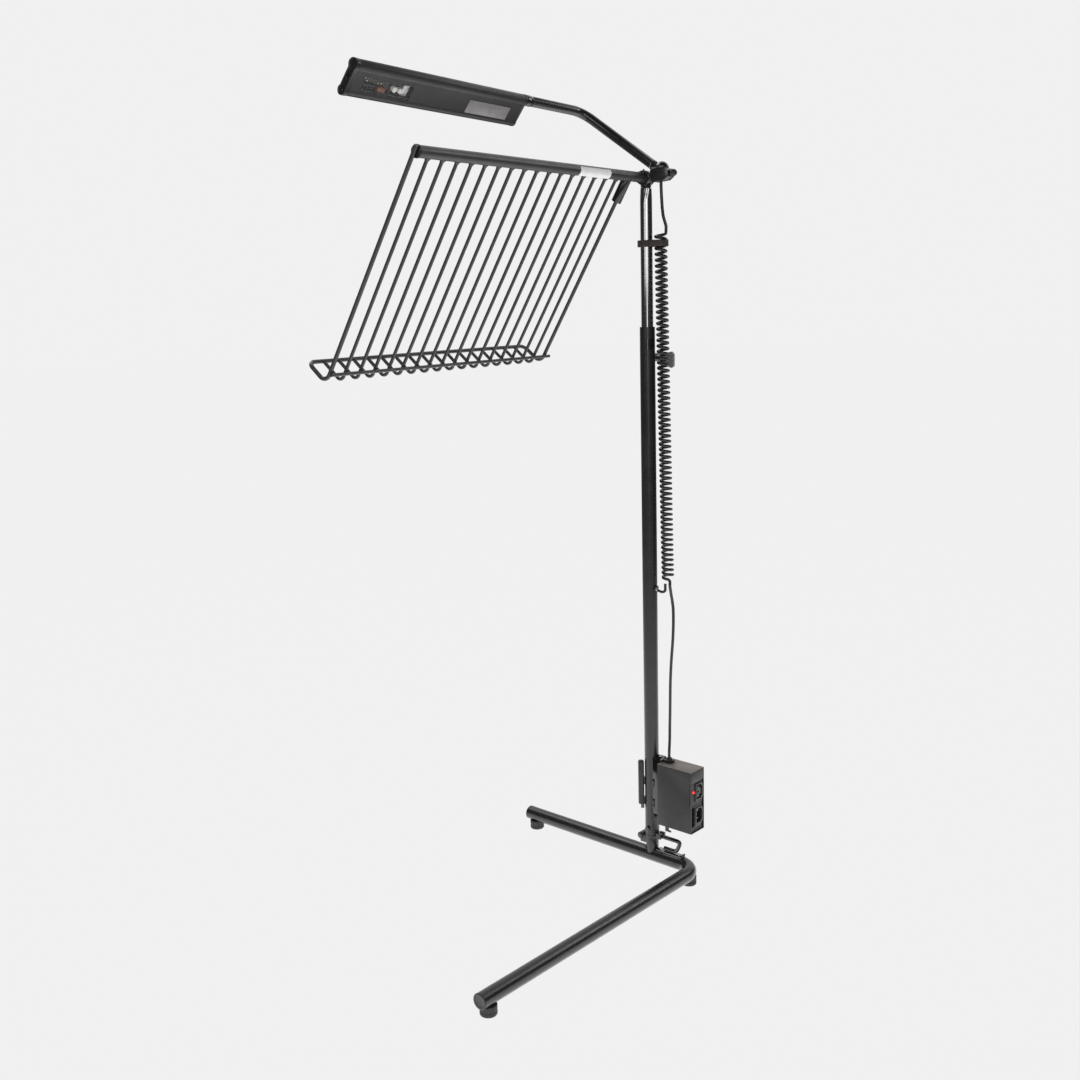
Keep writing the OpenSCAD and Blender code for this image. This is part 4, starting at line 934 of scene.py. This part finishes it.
def make_driver_parts():
    """What shows behind the lamp's window: capacitors, choke, film capacitor and solder joints."""
    board_top = -PANEL_BACK + LAMP_WALL + BOARD_GAP + BOARD_T
    roof = WINDOW_SEAT - 0.1

    def standing(name, x, z, d, height):
        r = d / 2
        steps = [(r - 0.3, 0), (r, 0.4), (r, height - 0.7), (r - 0.5, height - 0.1), (r - 1.2, height)]
        can = soften(turned(name, steps, 32), 0.12)
        can.data.transform(Matrix.Translation((WINDOW_X0 + x, board_top, z)) @ turn(-90, "X"))
        return can

    tall = roof - board_top
    white = [standing("can", x, z, 8.4, tall) for x, z in CAN_PLACES]
    strip = slab("strip", (WINDOW_X0 + 1, board_top, -32.4), (WINDOW_X0 + 12, board_top + 1.5, -13))
    settle(joined("white_cans", white + [soften(strip, 0.3)]), IN_LAMP, "lamp", "led_board")
    choke_d, choke_z = 4.8, -24.2
    choke_y = board_top + choke_d / 2
    choke = bar("choke", (WINDOW_X0 + 66, choke_y, choke_z), (WINDOW_X0 + 90, choke_y, choke_z), choke_d, 32)
    small = [
        slab("chip", (WINDOW_X0 + x, board_top, z), (WINDOW_X0 + x + 5, board_top + 1.8, z + 4))
        for x, z in CHIP_PLACES
    ]
    dark = [soften(p, 0.4) for p in [choke] + small]
    settle(joined("choke_and_chips", dark), IN_LAMP, "lamp", "black_plastic")
    film = slab("film", (WINDOW_X0 + 47, board_top, -31), (WINDOW_X0 + 61.5, board_top + tall - 1, -23.5))
    settle(soften(film, 0.9, 3), IN_LAMP, "lamp", "coils", "driver_parts")
    joints = [standing("joint", x, z, 3.2, 1.6) for x, z in JOINT_PLACES]
    settle(joined("solder_joints", joints), IN_LAMP, "lamp", "zinc")


# Neck: how its section goes from round to flat, as (height, half across X, half across Y)
NECK_LEVELS = [
    (1124, 8.44, 8.44), (1147, 8.44, 8.44), (1147.6, 9.95, 9.95), (1150, 9.95, 9.97), (1152, 9.85, 9.98),
    (1154, 9.6, 9.98), (1156, 9.25, 9.98), (1158, 8.8, 9.98), (1160, 8.3, 9.98), (1162, 7.85, 9.98),
    (1164, 7.45, 9.98), (1166, 7.1, 9.98), (1168, 6.8, 9.9), (1169.6, 6.6, 9.7), (1170.4, 6.2, 9.3),
]
NECK_BORE_FROM = 1130.6
NECK_BORE_D = 10.12


def make_neck():
    """Top of the upper tube, pressed flat towards the head."""
    z, rx, ry = NECK_LEVELS[0]
    deselect()
    bpy.ops.mesh.primitive_circle_add(vertices=64, radius=rx, fill_type="NGON", location=(0, 0, z))
    neck = named("pressed_neck")
    edit(neck)
    for z_next, rx_next, ry_next in NECK_LEVELS[1:]:
        bpy.ops.mesh.extrude_region_move(TRANSFORM_OT_translate={"value": (0, 0, z_next - z)})
        bpy.ops.transform.resize(value=(rx_next / rx, ry_next / ry, 1), center_override=(0, 0, z_next))
        z, rx, ry = z_next, rx_next, ry_next
    leave_edit()
    pick(neck)
    bpy.ops.object.shade_smooth_by_angle(angle=math.radians(40))
    carve(neck, bar("bore", (0, 0, NECK_BORE_FROM), (0, 0, 1175), NECK_BORE_D))
    settle(neck, IN_HEAD, "upper_mast", "plated_tube", "mast_neck")


# Desk
DESK_START = 52.8
DESK_W = 499
INNER_WIRES = 16


def make_welds():
    """Small weld collars where the inner wires meet the desk tube."""
    steps = [(2.5, -12.2), (2.75, -11), (3.3, -9.4), (4.3, -8.0), (4.6, -6.8)]
    first = turned("weld", steps, 20)
    pick(first)
    bpy.ops.object.shade_smooth_by_angle(angle=math.radians(50))
    pitch = DESK_W / (INNER_WIRES + 1)
    welds = [
        copied(first, Matrix.Translation((DESK_START + i * pitch, 0, 0))) for i in range(1, INNER_WIRES + 1)
    ]
    bpy.data.objects.remove(first)
    settle(joined("desk_welds", welds), IN_DESK, "desk", "grey_coat", finish=DESK_COAT)


# Foot of the mast and power box: what stands over these heights is cut off
KEEPER_LIP_Z = 43.5
BLOCK_TOP_Z = 212


def cut_down(piece, height):
    """Takes off what stands over a height in millimetres."""
    edit(piece)
    bpy.ops.mesh.bisect(plane_co=(0, 0, height * MM), plane_no=(0, 0, 1), use_fill=True, clear_outer=True)
    leave_edit()


def rounded(corners, reach, steps=6):
    """Path through corners, each one rounded from a distance of reach before it to one after it."""
    path = [Vector(corners[0])]
    for before, at, after in zip(corners, corners[1:], corners[2:]):
        at = Vector(at)
        start = at + reach * (Vector(before) - at).normalized()
        end = at + reach * (Vector(after) - at).normalized()
        for i in range(steps + 1):
            t = i / steps
            path.append((1 - t) ** 2 * start + 2 * t * (1 - t) * at + t ** 2 * end)
    return path + [Vector(corners[-1])]


# Release lever's corners (y, z), from its pivot round to its tail over the keeper strip
LEVER_CORNERS = [(17.7, 65.5), (61, 65.5), (52, 45.2), (27, 45.2)]
LEVER_D = 7.6
LEVER_BEND = 8
LEVER_PIN_HALF = 7.2
LEVER_PIN_D = 4
LEVER_HUB_HALF = 3.4


def make_lever():
    """Bent-wire loop that frees the mast, with its tail, pin and hub."""
    y, z = LEVER_CORNERS[0]
    tail_y, tail_z = LEVER_CORNERS[-1]
    loop = tube_along("loop", rounded([(0, *corner) for corner in LEVER_CORNERS], LEVER_BEND), LEVER_D)
    tail = soften(bar("tail", (0, tail_y + 0.5, tail_z), (0, tail_y - 1, tail_z), LEVER_D), 0.7)
    pin = soften(bar("pin", (-LEVER_PIN_HALF, y, z), (LEVER_PIN_HALF, y, z), LEVER_PIN_D), 0.4)
    hub = soften(bar("hub", (-LEVER_HUB_HALF, y, z), (LEVER_HUB_HALF, y, z), LEVER_D + 2), 0.4)
    settle(
        joined("lever_loop", [loop, tail, pin, hub]), AT_MAST, nodes["release_lever"]["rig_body"],
        slot_of["release_lever"], "release_lever", finish=FINISH["black_gloss"],
    )


# Bar of the tube clamp: corners as drawn along X, and how far it is then turned round the mast
CLAMP_BAR_LOW, CLAMP_BAR_HIGH = (13.8, -5, 122), (24, 5, 203)
CLAMP_BAR_SIDE = -48


def make_clamp_bar():
    """Rounded bar over the two straps round the lower mast."""
    cover = soften(slab("clamp_bar_cover", CLAMP_BAR_LOW, CLAMP_BAR_HIGH), 3, 4)
    cover.data.transform(turn(CLAMP_BAR_SIDE, "Z"))
    settle(cover, AT_MAST, "lower_mast", slot_of["tube_clamp"], finish=FINISH["black_plastic"])


# Dressed nodes
# Parts whose CAD shape is kept and whose edges are rounded: node, piece, width in millimetres
EASED = [
    ("hinge_post", "hinge_post_cast", 0.5),
    ("mast_shoe", "hinge_shoe_cast", 0.4),
    ("clamp_boss", "clamp_socket", 0.7),
    ("clamp_lever", "clamp_paddle", 0.9),
    ("hook_rivet", "hook_rivet_domed", 0.5),
    ("box_gland", "lead_gland", 0.5),
    ("mains_inlet", "inlet_socket", 0.3),
    ("mains_outlet", "outlet_socket", 0.3),
    ("inlet_pins", "inlet_blades", 0.2),
    ("cord_strap", "cord_strap_band", 0.5),
    ("arm_pivot_screw", "pivot_screw", 0.4),
    ("desk_end_cap", "desk_tube_cap", 0.5),
    ("cable_tie", "desk_cable_tie", 0.2),
    ("lamp_plate", "lamp_label_plate", 0.2),
    ("switch_button", "push_button", 0.6),
]
# The same for parts in black lacquer
DARK_EASED = [
    ("hinge_pin", "hinge_pin_headed", 0.3),
    ("shoe_bolt", "foot_bolt", 0.35),
    ("tube_clamp", "strap_clamp", 0.5),
    ("arm_collar", "lamp_collar", 0.5),
]
BOX_SHEETS = [
    ("box_shell", "box_folded_shell"),
    ("box_cover", "box_side_cover"),
    ("box_end_panel", "box_socket_panel"),
]
DESK_NODES = ("desk_tube", "desk_frame", "desk_wires", "cross_rod")


def make_eased():
    """The CAD nodes that keep their shape and get rounded edges."""
    for node, name, width in EASED:
        eased(node, name, width)
    eased("arm_tube", "bent_arm", 0.4, finish=ARM_COAT)
    eased("tilt_sleeve", "tilt_sleeve_cast", 0.5, finish=ARM_COAT)
    eased("head_block", "head_block_cast", 0.8, finish=ARM_COAT)
    eased("head_bolt", "clamp_bolt_set", 0.4, finish=FINISH["black_plastic"])
    for node, name, width in DARK_EASED:
        eased(node, name, width, finish=FINISH["black_gloss"])
    cut_down(eased("keeper_strip", "lever_keeper", 0.4, finish=FINISH["black_gloss"]), KEEPER_LIP_Z)
    cut_down(eased("mounting_block", "grooved_block", 0.6, finish=FINISH["black_gloss"]), BLOCK_TOP_Z)
    eased("desk_stub", "wire_stub", 2.2, 50, finish=FINISH["black_gloss"])
    # The box's sheets take the coat with the painted highlight on its top face
    for node, name in BOX_SHEETS:
        eased(node, name, 0.5, finish=BOX_COAT_PAINTED_TOP_HIGHLIGHT)
    eased("lamp_housing", "lamp_extrusion", 0.3, finish=LAMP_COAT)


def finish_nodes():
    """Every CAD node gets its slot's finish, and the desk's wires and tubes their own coat."""
    for name, node in nodes.items():
        node.data.materials.clear()
        node.data.materials.append(DESK_COAT if name in DESK_NODES else FINISH[slot_of[name]])


make_camera()
make_cords()
finish_nodes()
make_floor()
make_studio()
make_feet()
make_leg_plugs()
make_cover_screws()
make_lens()
make_end_cap()
make_driver_parts()
make_neck()
make_welds()
make_lever()
make_clamp_bar()
make_eased()
